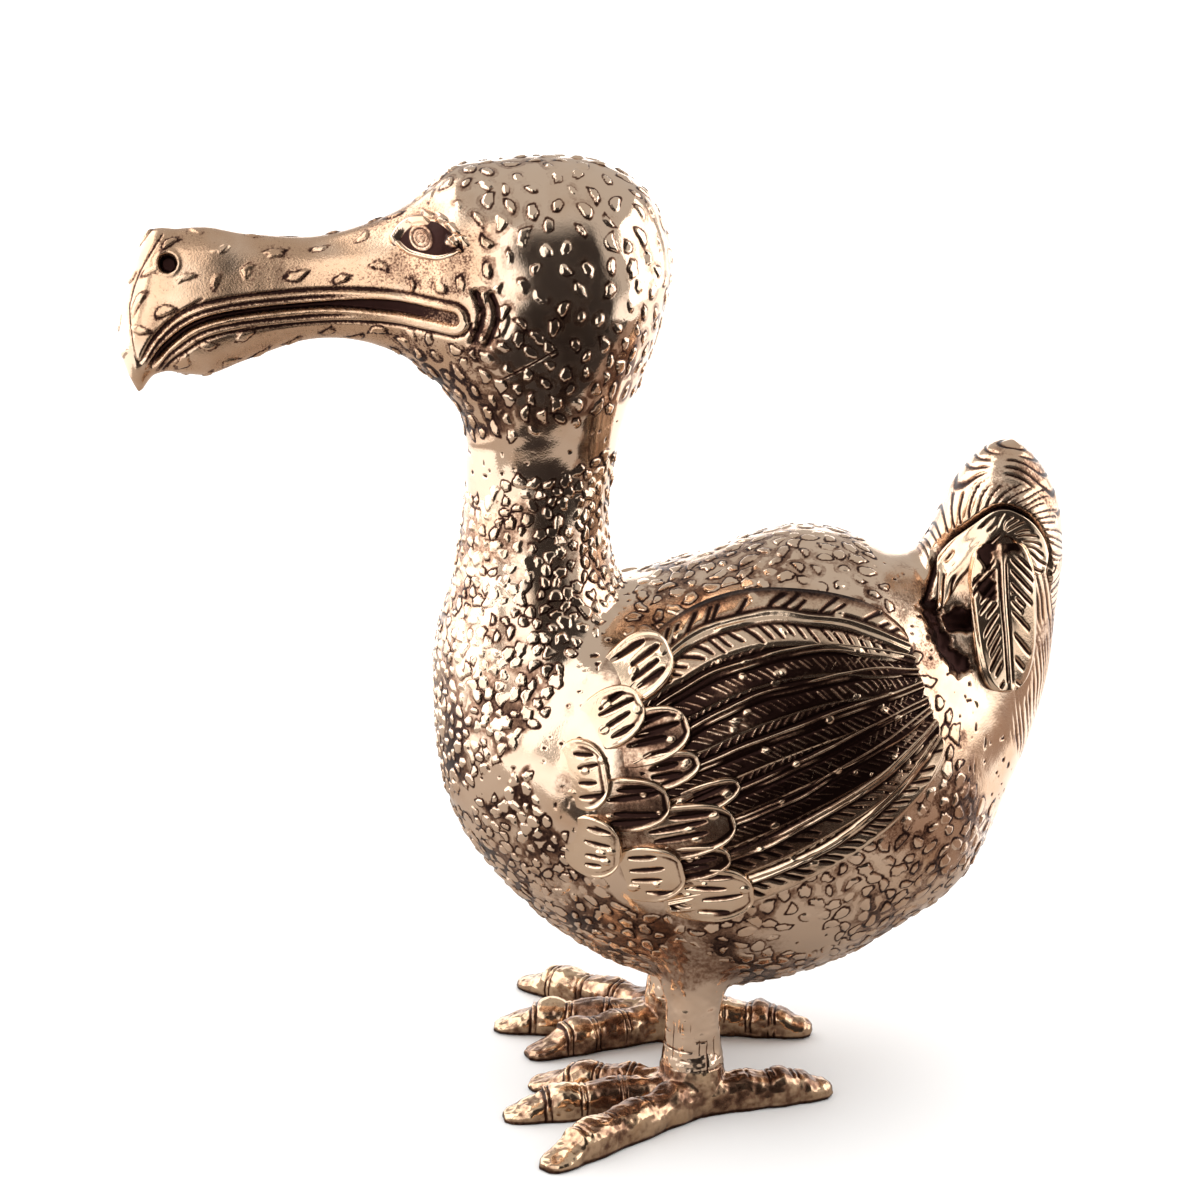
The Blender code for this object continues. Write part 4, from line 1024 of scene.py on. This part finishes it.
def curl_band():
    """The arch, with strokes across its outer half and along its inner half."""
    flat, s, v, width = leaf_grid(inset(GROOVE, BAND_INSET), band_width, rows=150, columns=34)
    a, b = s * BAND_LENGTH, v * width
    fanned, luck = strokes(a - 1.2 * b + clouds(flat, 6, 91), pitch=3.2, width=0.45, seed=91)
    fanned = fanned * step(0.4, 0.55, s) * step(3.2, 2.4, np.abs(b) + luck)
    run, _ = strokes(b + 0.7 * clouds(flat, 7, 92) + 9, pitch=2.0, width=0.4, seed=93)
    marks = np.maximum(fanned, run * step(0.5, 0.4, s) * step(-0.5, -0.1, clouds(flat, 6, 94)))
    raised = 2.0 + 0.4 * step(0.3, 0.95, v) - 0.5 * marks - 0.8 * np.maximum(-v, 0) ** 3
    return leaf(flat, raised, 0.05 + 0.85 * marks + 0.3 * step(0.2, 0.7, clouds(flat, 7, 95)))


def hanging_width(share):
    """Half width along the hanging tip."""
    tip = np.clip((share - 0.55) / 0.45, 0, 1)
    root = np.sqrt(np.clip(share / 0.3, 0, 1))
    return HANGING_HALF_WIDTH * np.sqrt(np.maximum(1 - tip ** 2.4, 0.004)) * (0.5 + 0.5 * root)


def hanging_leaf():
    """The tip, with its rib, its cuts, a blotch of patina near the root and painted shade on the root under
    the arch.
    """
    flat, s, v, width = leaf_grid(HANGING, hanging_width, rows=130, columns=70)
    a, b = s * HANGING_LENGTH, v * width
    _, lens = barbs(a, b, width, pitch=3.2, seed=96)
    rib = bell(np.abs(b) - 0.85, 0.36) * step(0.12, 0.2, s) * step(0.95, 0.88, s)
    rough_edge = clouds(flat, 4, 97) + 0.6 * clouds(flat, 1.7, 98)
    patch = rough_edge + 0.4 * bell(v + 0.45, 0.25) - 0.8 * step(0.3, 0.6, s)
    blotch = step(0.3, 0.7, patch) * step(-0.12, -0.3, v) * step(-0.95, -0.8, v)
    # Painted shade darkens the root of the tip, under the arch.
    root = step(0.22, 0.0, s + 0.1 * rough_edge) * step(1.0, 0.5, np.abs(v))
    to_edge = np.minimum((1 - np.abs(v)) * width, (1 - s) * HANGING_LENGTH)
    lens = lens * step(-1.0, -0.6, rough_edge) * step(0.08, 0.2, s)
    cuts = 0.5 * rib + 0.6 * lens + 0.6 * blotch
    raised = 3.1 + 0.5 * bell(b, 1.0) - cuts - 1.2 * step(1.6, 0.0, to_edge)
    return leaf(flat, raised, 0.05 + 0.9 * highest(lens, rib, 0.85 * blotch, 0.8 * root))


curls = both_sides("tail_curl", [curl_band(), hanging_leaf()])
for piece, name in zip(curls, ("tail_curl_left", "tail_curl_right")):
    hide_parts(name)
print("Curl:", len(curls[0].data.polygons), "faces each")

# %% [markdown]
# ## The eyes
# Each eye looks out between a smooth heavy lid and a thin lower one. Two rings and a bead make the
# iris and the pupil, and a lump fills the rear corner. The lid runs on into a beaded rope that falls
# behind the eye to a dark hollow. Left and right are mirror images.

# %% The eyes


def eye():
    """The eye as one leaf, over places u behind its middle and w above it."""
    behind, above = np.linspace(-12, 19, 210), np.linspace(-9, 11, 140)
    u, w = np.meshgrid(behind, above, indexing="ij")
    spots = np.column_stack([np.ravel(u), np.ravel(w)])

    def along(line):
        return [grid.reshape(u.shape) for grid in to_line(spots, line)]

    lid, _, _ = along(LID)
    rope, _, rope_share = along(ROPE)
    lower, _, lower_share = along(LOWER_LID)
    brow, _, brow_share = along(ROPE + (1.3, 2.2))
    inside = inside_eye(u, w)
    ring = np.hypot(u, w)
    beads = 0.75 + 0.25 * np.sin(26 * rope_share + 1.2 * np.sin(1.7 * w))
    ball = -1.3 + 1.7 * np.sqrt(np.maximum(1 - (ring / 9.5) ** 2, 0))
    ball += 0.35 * bell(ring - 3.2, 0.5) + 0.3 * bell(ring - 1.9, 0.35) + 0.4 * bell(ring, 0.75)
    lids = highest(
        2.5 * bell(lid, 1.5),
        1.5 * bell(lower, 0.85) * mix(1, 0.75, lower_share),
        2.3 * bell(rope, 1.6) * beads * step(1.0, 0.75, rope_share),
    )
    corner = bell(np.hypot((u - 9.2) / 1.3, w - 0.2), 2.1) * (1 + 0.25 * np.sin(2.4 * u) * np.sin(2.1 * w))
    raised = np.where(inside > 0, highest(ball, lids - 0.9, 2.2 * corner - 0.9), lids - 0.7)
    # The eye's white between the lids is darkened, partly as patina and partly as painted shade.
    socket = 0.32 + 0.55 * step(3.4, 3.9, ring) + 0.4 * bell(np.hypot((u - 5.3) / 1.3, w - 0.4), 2.2)
    socket = socket * (1 - 0.75 * step(0.3, 0.7, corner)) * (inside > 0)
    socket = socket * step(1.0, 1.7, rope) * step(1.0, 1.6, lid) * step(0.5, 1.0, lower)
    dark = highest(
        socket,
        0.6 * bell(ring - 2.55, 0.34) * (ring < 3.4),
        0.5 * bell(ring - 1.2, 0.3),
        0.45 * step(0.75, 0.52, beads) * bell(rope, 1.6),
        0.85 * bell(brow, 0.55) * step(0.1, 0.3, brow_share),
        0.95 * bell(np.hypot(u - 15.6, w + 4.2), 1.7),
        0.7 * bell(lower - 1.3, 0.5) * (inside < 0),
    )
    rubbed = (1 - bell(lid, 1.1)) * (1 - 0.9 * bell(lower, 0.6))
    return leaf(EYE + np.dstack([u, w]), raised, dark * rubbed, sink=2.0)


eyes = both_sides("eye", [eye()], satin=0.4)
for piece in eyes:
    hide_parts("head")
print("Eye:", len(eyes[0].data.polygons), "faces each")

# %% [markdown]
# ## Legs
# Each leg is a stout column, slimmer at half height. At its top it spreads into the belly, and every
# ring of that spread follows the belly's own height round the leg, found by looking straight up from
# the floor.

# %% Legs
LEG_RADIUS, LEG_STEPS = 10.2, 70
# Rings of the leg as shares of its radius, by height above the floor and then by depth under the belly.
LOW_RINGS = [(0.0, 1.05), (6.0, 1.08), (11.0, 1.06), (15.0, 1.02), (19.0, 0.96), (23.0, 0.91)]
HIGH_RINGS = [
    (14.0, 0.86), (10.0, 0.89), (7.0, 0.95), (4.5, 1.03), (2.6, 1.13), (1.2, 1.28), (0.3, 1.48),
    (-0.4, 1.7), (-4.0, 1.75),
]


def belly_height(radius, angle):
    """Height of the belly above each place of a circle round the leg."""
    circle = LEG + radius * np.column_stack([np.cos(angle), np.sin(angle)])
    return np.array([smooth.ray_cast(Vector((*spot, 0.0)), Vector((0, 0, 1)))[0].z for spot in circle])


def leg_rings(count=48):
    """Rings of points from the sole to the belly."""
    angle = np.linspace(0, 2 * np.pi, count, endpoint=False)
    rings = [(share * LEG_RADIUS, height + 0 * angle) for height, share in LOW_RINGS]
    for depth, share in HIGH_RINGS:
        radius = share * LEG_RADIUS
        rings.append((radius, belly_height(radius, angle) - depth))
    turned = [(LEG[0] + r * np.cos(angle), LEG[1] + r * np.sin(angle), h) for r, h in rings]
    return np.stack([np.column_stack(ring) for ring in turned])


rough_rings = leg_rings()
fine_rings = curve(rough_rings.reshape(len(rough_rings), -1), np.linspace(0, 1, LEG_STEPS))
leg_shape = closed_tube(fine_rings.reshape(LEG_STEPS, -1, 3))
print("Belly above the leg at", leg_shape[0][:, 2].max().round(1), "mm")

# %% [markdown]
# ## Toes
# Four toes lie flat on the ground, each a bar with upright sides and a rounded top. Each has a length and
# an angle outwards. Rows of shares give its height and width along the pads, and then along the nail,
# which hollows out to a thin tip. The hind nail is blunt.

# %% Toes
TOE_HALF_WIDTH, TOE_HEIGHT, NAIL, SIDE_STEP = 6.5, 11.5, 13.0, 4.0
TOES = {"middle": (62.0, 6.5), "outer": (66.0, 40.0), "inner": (55.0, -20.0), "hind": (47.0, 192.0)}
PADS = [(0.0, 1.15, 1.10), (0.3, 1.02, 1.0), (0.55, 0.98, 0.98), (0.85, 0.94, 1.0), (1.0, 0.84, 0.94)]
NAILS = [(0.05, 0.68, 0.92), (0.3, 0.52, 0.94), (0.6, 0.38, 0.88), (0.85, 0.30, 0.72), (1.0, 0.22, 0.38)]
BLUNT = [(0.05, 0.82, 0.9), (0.35, 0.74, 0.92), (0.55, 0.56, 0.84), (0.85, 0.46, 0.68), (1.0, 0.34, 0.3)]


def toe_axes(angle):
    """Directions along and across a toe, for an angle outwards from straight ahead."""
    turn = math.radians(angle)
    along = np.array([-math.cos(turn), -math.sin(turn), 0.0])
    return along, np.array([along[1], -along[0], 0.0])


def toe(name):
    """A bar of rings along one toe."""
    length, angle = TOES[name]
    pads = length - NAIL
    nail = BLUNT if name == "hind" else NAILS
    marks = [(share * pads, tall, wide) for share, tall, wide in PADS]
    marks += [(pads + share * NAIL, tall, wide) for share, tall, wide in nail]
    d = np.linspace(0, length, 90)
    places, tall, wide = np.array(marks).T
    swell = 1 + 0.05 * np.cos(2 * np.pi * (d / pads * 2.6 - 0.3)) * step(pads, pads - 4, d) * step(8, 16, d)
    tall = TOE_HEIGHT * swell * np.interp(d, places, tall)
    wide = TOE_HALF_WIDTH * swell * np.interp(d, places, wide)
    turn = np.linspace(-0.5, np.pi + 0.5, 40)
    across_share = np.sign(np.cos(turn)) * np.abs(np.cos(turn)) ** 0.75
    rise_share = np.maximum(0.35 + 0.65 * np.sign(np.sin(turn)) * np.abs(np.sin(turn)) ** 0.85, 0)
    along, across = toe_axes(angle)
    start = (LEG[0], LEG[1] - SIDE_STEP * (name in ("outer", "hind")), 0.0)
    base = start + along * d[:, None]
    sideways = (wide[:, None] * across_share)[..., None] * across
    upwards = (tall[:, None] * rise_share)[..., None] * (0, 0, 1)
    return closed_tube(base[:, None] + (sideways + upwards))


FOOT_STEP = 0.42
foot, foot_quads = fused([leg_shape] + [toe(name) for name in TOES], FOOT_STEP)
foot = relaxed(foot, foot_quads, rounds=10)
foot_normals = normals_of(foot, foot_quads)
print("Foot and leg:", len(foot), "points each")

# %% [markdown]
# ## Working the feet
# Pairs of ring grooves part the pads and a deep line sets off the nail. Dents cover the rest, with
# patina left in them, and painted shade darkens the toes just above the floor. The sole stays flat,
# because the bird stands on it.

# %% Working the feet
dents = 0.5 * noise(foot, 3.5, 21) + 0.6 * noise(foot, 1.5, 22)
foot_lift = 0.5 * noise(foot, 6, 29) + 0.3 * dents
foot_dark = 0.24 + 0.4 * step(0.7, -0.9, 0.6 * dents + 0.5 * noise(foot, 12, 23))
offset = foot - (*LEG, 0)


def toe_rings(name):
    """Grooves across one toe."""
    length, angle = TOES[name]
    along, across = toe_axes(angle)
    d = offset @ along + 0.35 * noise(foot, 4, 24)
    mine = step(8.6, 6.8, np.abs(offset @ across)) * step(14, 18, offset @ along)
    pads = length - NAIL
    total = bell(d - pads + 1.8, 0.4) + 1.3 * bell(d - pads - 0.2, 0.5)
    for share in (0.48, 0.74):
        total = total + bell(d - share * pads + 0.9, 0.42) + bell(d - share * pads - 0.9, 0.42)
    return np.minimum(total, 1.3) * mine


rings = sum(toe_rings(name) for name in TOES)
knuckle = step(24, 14, np.hypot(*offset[:, :2].T)) * step(22, 14, foot[:, 2])
foot_lift += 0.5 * knuckle * noise(foot, 4.0, 25) - 0.42 * rings
foot_dark = np.maximum(foot_dark, 0.9 * np.minimum(rings, 1) * step(-0.7, 0, noise(foot, 4, 30)))
# Painted shade darkens each toe within about 2 mm of the floor.
foot_dark = np.maximum(foot_dark, 0.7 * step(2.2, 0.8, foot[:, 2]))
foot_lift *= step(0.2, 1.6, foot[:, 2])
print("Deepest groove:", round(float(foot_lift.min()), 2), "mm")

# %% [markdown]
# ## Legs and feet as pieces
# The leg is smoother than the foot, with a few engraved marks on its lower half and painted shade where
# it meets the belly. The ankle parts the leg from the foot, and the right limb mirrors the left one.

# %% Legs and feet as pieces
ANKLE = 16.15  # in the gap between leg and foot in the frame
on_leg = foot[:, 2] > ANKLE
level, _ = strokes(foot[:, 2] + 0.6 * noise(foot, 5, 26), pitch=3.0, width=0.3, seed=37)
around = LEG_RADIUS * np.arctan2(offset[:, 1], offset[:, 0])
upright, _ = strokes(around + 0.6 * noise(foot, 5, 27), pitch=3.3, width=0.3, seed=39)
level = level * step(0.15, 0.35, noise(foot * (0.7, 0.7, 1.6), 4, 31))
upright = upright * step(0.15, 0.35, noise(foot * (1.6, 1.6, 0.6), 4, 32))
tool_marks = np.maximum(level, upright) * step(37, 27, foot[:, 2] + 3 * noise(foot, 6, 33))
# Painted shade darkens the top of the leg, under the belly.
leg_top_shade = step(41, 47, foot[:, 2] + 2 * noise(foot, 6, 28))
foot_dark = np.where(on_leg, 0.06 + 0.7 * tool_marks + 0.4 * leg_top_shade, foot_dark)
foot_lift = np.where(on_leg, 0.5 * foot_lift - 0.25 * tool_marks, foot_lift)
foot_made = foot + foot_normals * foot_lift[:, None]
foot_made[:, 2] = np.maximum(foot_made[:, 2], 0)
limb_normals = normals_of(foot_made, foot_quads)


def limb(name, chosen, side):
    """One leg or foot."""
    layers = {"patina": foot_dark, "satin": np.zeros(len(foot))}
    return own_piece(name, chosen, foot_made, foot_quads, limb_normals, side, **layers)


legs = [limb("leg_left", on_leg, 1), limb("leg_right", on_leg, -1)]
feet = [limb("foot_left", ~on_leg, 1), limb("foot_right", ~on_leg, -1)]
print("Foot bottom at", round(float(foot_made[:, 2].min()), 2), "mm")

# %% [markdown]
# ## Shader sums
# A finish is a small sum over the surface. This class wraps one output of a shader node, so that
# the sums read like ordinary arithmetic.

# %% Shader sums


class Wire:
    """One output in a shader tree."""

    def __init__(self, tree, socket=None):
        self.tree = tree
        self.socket = socket

    def node(self, kind, settings=(), inputs=(), output=0):
        """Any node: its settings are set first, then its inputs are filled or linked."""
        made = self.tree.nodes.new(kind)
        for name, value in dict(settings).items():
            setattr(made, name, value)
        for name, value in dict(inputs).items():
            if isinstance(value, Wire):
                self.tree.links.new(value.socket, made.inputs[name])
            else:
                made.inputs[name].default_value = value
        return Wire(self.tree, made.outputs[output])

    def math(self, operation, a, b):
        """A sum of two values."""
        return self.node("ShaderNodeMath", {"operation": operation}, {0: a, 1: b})

    def __add__(self, other):
        return self.math("ADD", self, other)

    __radd__ = __add__

    def __mul__(self, other):
        return self.math("MULTIPLY", self, other)

    __rmul__ = __mul__

    def __sub__(self, other):
        return self.math("SUBTRACT", self, other)

    def __rsub__(self, other):
        return self.math("SUBTRACT", other, self)

    def ramp(self, low, high):
        """A soft rise from 0 at low to 1 at high."""
        limits = {0: self, 1: low, 2: high}
        return self.node("ShaderNodeMapRange", {"interpolation_type": "SMOOTHSTEP"}, limits)

    def between(self, first, second):
        """A colour mixed by this value."""
        return self.node("ShaderNodeMix", {"data_type": "RGBA"}, {0: self, 6: first, 7: second}, 2)

    def feed(self, shader, name):
        """Links this value to an input of the shader."""
        self.tree.links.new(self.socket, shader.inputs[name])


print("Shader sums ready")

# %% [markdown]
# ## Finishes
# The metal is a bronze between gold and rose. Polish is smooth, the satin layer roughens it, and patina
# in the hollows and painted shade under overhanging parts turn the metal brown and then nearly black.
# Clouds shift the colour a little, and a fine grain breaks the reflections.

# %% Finishes
# The darkest colour serves patina and painted shade alike.
BROWN, PATINA_AND_SHADE = (0.30, 0.165, 0.105), (0.024, 0.008, 0.006)


def new_material(name):
    """A material and its shader."""
    material = bpy.data.materials.new(name)
    material.use_nodes = True
    return material, material.node_tree.nodes["Principled BSDF"]


def finish(name, bright, warm, dark, roughness):
    """Polished metal, with the patina, painted shade and satin that the layers ask for."""
    material, shader = new_material(name)
    start = Wire(material.node_tree)
    spot = start.node("ShaderNodeTexCoord", output="Object")

    def layer(layer_name):
        return start.node("ShaderNodeAttribute", {"attribute_name": layer_name}, output="Fac")

    def clouded(scale, detail):
        return start.node("ShaderNodeTexNoise", {}, {"Vector": spot, "Scale": scale, "Detail": detail})

    patina, satin = layer("patina"), layer("satin")
    cloud, speck, grain = clouded(60.0, 4.0), clouded(800.0, 3.0), clouded(1500.0, 2.0)
    dull = satin * ((grain - 0.5) + 0.6 * (cloud - 0.5) + 0.17)
    # The darkness layer holds patina and painted shade, and both turn the metal brown and then nearly black.
    rubbed = patina + 0.3 * (cloud - 0.5) + 0.3 * (speck - 0.5) + dull
    darkened = rubbed.ramp(0.15, 0.85)
    metal_colour = (cloud + 0.35 * (satin - 0.3)).ramp(0.35, 0.8).between((*bright, 1), (*warm, 1))
    browned = darkened.ramp(0.0, 0.6).between(metal_colour, (*BROWN, 1))
    darkened.ramp(0.35, 1.0).between(browned, (*dark, 1)).feed(shader, "Base Color")
    (roughness + 0.17 * satin + 0.22 * darkened + 0.08 * (cloud - 0.5)).feed(shader, "Roughness")
    (1.0 - 0.1 * darkened).feed(shader, "Metallic")
    relief = {"Strength": 0.35, "Distance": 0.00012, "Height": grain * (0.35 + 0.9 * satin) + 0.3 * speck}
    start.node("ShaderNodeBump", {}, relief).feed(shader, "Normal")
    return material


bronze = finish("polished bronze", (0.875, 0.665, 0.50), (0.69, 0.45, 0.29), PATINA_AND_SHADE, roughness=0.07)
FEATHER_PATINA_AND_SHADE, FOOT_PATINA_AND_SHADE = (0.018, 0.006, 0.004), (0.030, 0.010, 0.005)
feather_bronze = finish("feather bronze", (0.86, 0.65, 0.47), (0.68, 0.43, 0.27), FEATHER_PATINA_AND_SHADE, 0.10)
foot_bronze = finish("foot bronze", (0.80, 0.57, 0.37), (0.62, 0.38, 0.21), FOOT_PATINA_AND_SHADE, 0.11)
print("Finishes:", [material.name for material in bpy.data.materials])

# %% [markdown]
# ## Dressing the pieces
# Each piece takes its finish and rides with the one body of the bird.

# %% Dressing the pieces


def dress(pieces, material):
    """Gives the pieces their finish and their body."""
    for piece in pieces:
        piece.data.materials.clear()
        piece.data.materials.append(material)
        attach(piece, "root")
    return len(pieces)


dressed = dress([*castings, *eyes, *legs], bronze)
dressed += dress([*wings, *curls], feather_bronze)
dressed += dress(feet, foot_bronze)
print("Dressed pieces:", dressed)

# %% [markdown]
# ## Studio cards
# A polished thing shows its surroundings, so plain cards stand and lie round the bird. All but the floor
# show in reflections only. The upright cloth thins out at its sides and top, which keeps its reflection
# soft.

# %% Studio cards
WHITE, FLOOR_WHITE = (0.8, 0.8, 0.8), (0.9, 0.9, 0.9)
CLOTH_COLOUR = (0.007, 0.0035, 0.003)


def plain(name, colour, glow=0.0):
    """A dull material, or a glowing one."""
    material, shader = new_material(name)
    shader.inputs["Base Color"].default_value = (*colour, 1)
    shader.inputs["Roughness"].default_value = 0.8
    shader.inputs["Emission Color"].default_value = (1, 1, 1, 1)
    shader.inputs["Emission Strength"].default_value = glow
    return material


def card(name, corners, material, seen=False):
    """A flat card. Unless it is seen, it shows in reflections only and casts no shadow."""
    made = make_object(name, np.array(corners, float), np.array([[0, 1, 2, 3]]))
    made.data.materials.append(material)
    for ray in ("camera", "diffuse", "shadow"):
        setattr(made, "visible_" + ray, seen)


def standing(name, middle, half_width, low, high, material):
    """An upright card that faces the bird, its middle at this place on the floor plan."""
    middle = np.array(middle, float)
    square = np.array([-middle[1], middle[0]]) / np.linalg.norm(middle) * half_width
    ends = [middle - square, middle + square]
    card(name, [(*ends[0], low), (*ends[1], low), (*ends[1], high), (*ends[0], high)], material)


def lying(name, low, high, material, height=0.5, seen=False):
    """A level card from one corner of the floor plan to the other."""
    corners = [(*low, height), (high[0], low[1], height), (*high, height), (low[0], high[1], height)]
    card(name, corners, material, seen)


def soft_cloth():
    """Dark cloth that thins out towards its sides and top."""
    material = plain("dark cloth", CLOTH_COLOUR)
    spot = Wire(material.node_tree).node("ShaderNodeTexCoord", output="Generated")
    across, _, up = (spot.node("ShaderNodeSeparateXYZ", {}, {"Vector": spot}, axis) for axis in range(3))
    cover = across.ramp(0.0, 0.25) * across.ramp(1.0, 0.8) * up.ramp(1.0, 0.5)
    cover.feed(material.node_tree.nodes["Principled BSDF"], "Alpha")
    return material


print("Shares of light given back: cards", WHITE[0], "and cloth", CLOTH_COLOUR[0])

# %% [markdown]
# ## Setting the studio
# Glowing softboxes stand left, right and front left, and a pale backdrop behind. A cloth wall hangs on the
# camera's side. Grey paper lies under the bird, with dark cloth in front and brown cloth to the right. The
# floor that the camera sees is pale and runs far back.

# %% Setting the studio
SOFTBOX, FRONT_SOFTBOX, BACKDROP = 1.45, 0.7, 0.9
FLOOR_REACH = 6000
corner = (FLOOR_REACH, FLOOR_REACH)
lying("floor", (-FLOOR_REACH, -FLOOR_REACH), corner, plain("pale floor", FLOOR_WHITE), height=0, seen=True)
white = plain("softbox", WHITE, SOFTBOX)
standing("cloth wall", (150, -570), 440, 0, 1300, soft_cloth())
lying("grey paper", (-420, -205), (190, 500), plain("grey paper", (0.34, 0.31, 0.285)))
lying("front cloth", (-250, -700), (700, -205), plain("floor cloth", CLOTH_COLOUR))
lying("side cloth", (190, -205), (700, 40), plain("side cloth", (0.20, 0.14, 0.11)))
standing("front softbox", (-450, -780), 330, 40, 1500, plain("front softbox", WHITE, FRONT_SOFTBOX))
standing("backdrop", (0, 1200), 1200, 0, 600, plain("backdrop", WHITE, BACKDROP))
standing("left softbox", (-870, 233), 900, 40, 2000, white)
standing("right softbox", (900, 90), 520, 40, 940, white)
print("Staged: floor, paper, cloths, softboxes and backdrop")

# %% [markdown]
# ## Light
# The room itself is grey. A wide lamp above lights the floor and keeps it white, and the metal doesn't
# show it.

# %% Light
ROOM_GREY, LAMP_WATTS, LAMP_SIZE = 0.56, 400.0, 9.0
world = bpy.data.worlds.new("room")
world.use_nodes = True
background = world.node_tree.nodes["Background"]
background.inputs["Color"].default_value = (1, 0.98, 0.95, 1)
background.inputs["Strength"].default_value = ROOM_GREY
bpy.context.scene.world = world
lamp = bpy.data.lights.new("floor lamp", "AREA")
lamp.size = LAMP_SIZE
lamp.energy = LAMP_WATTS
lamp_object = bpy.data.objects.new("floor lamp", lamp)
lamp_object.location = (0, 2.0, 3.0)
lamp_object.visible_glossy = False
bpy.context.scene.collection.objects.link(lamp_object)
print("Lamp:", lamp.energy, "watts")

# %% [markdown]
# ## Camera
# The camera stands a little above the bird and a little towards its front, with a long lens.

# %% Camera
AZIMUTH, ELEVATION, DISTANCE = math.radians(4), math.radians(16), 1.1
AIM_SHIFT, AIM_HEIGHT, LENS = 0.00035, 0.1629, 103.1
aim = Vector(((cad_low.x + cad_high.x) / 2 + AIM_SHIFT, 0, AIM_HEIGHT))
level_share = math.cos(ELEVATION)
back = Vector((-math.sin(AZIMUTH) * level_share, -math.cos(AZIMUTH) * level_share, math.sin(ELEVATION)))
camera = bpy.data.cameras.new("camera")
camera.lens = LENS
camera.sensor_width = 36
camera_object = bpy.data.objects.new("camera", camera)
camera_object.location = aim + back * DISTANCE
camera_object.rotation_euler = (-back).to_track_quat("-Z", "Y").to_euler()
bpy.context.scene.collection.objects.link(camera_object)
bpy.context.scene.camera = camera_object
bpy.context.scene.view_settings.view_transform = "Standard"
print("Camera at", [round(value, 3) for value in camera_object.location])
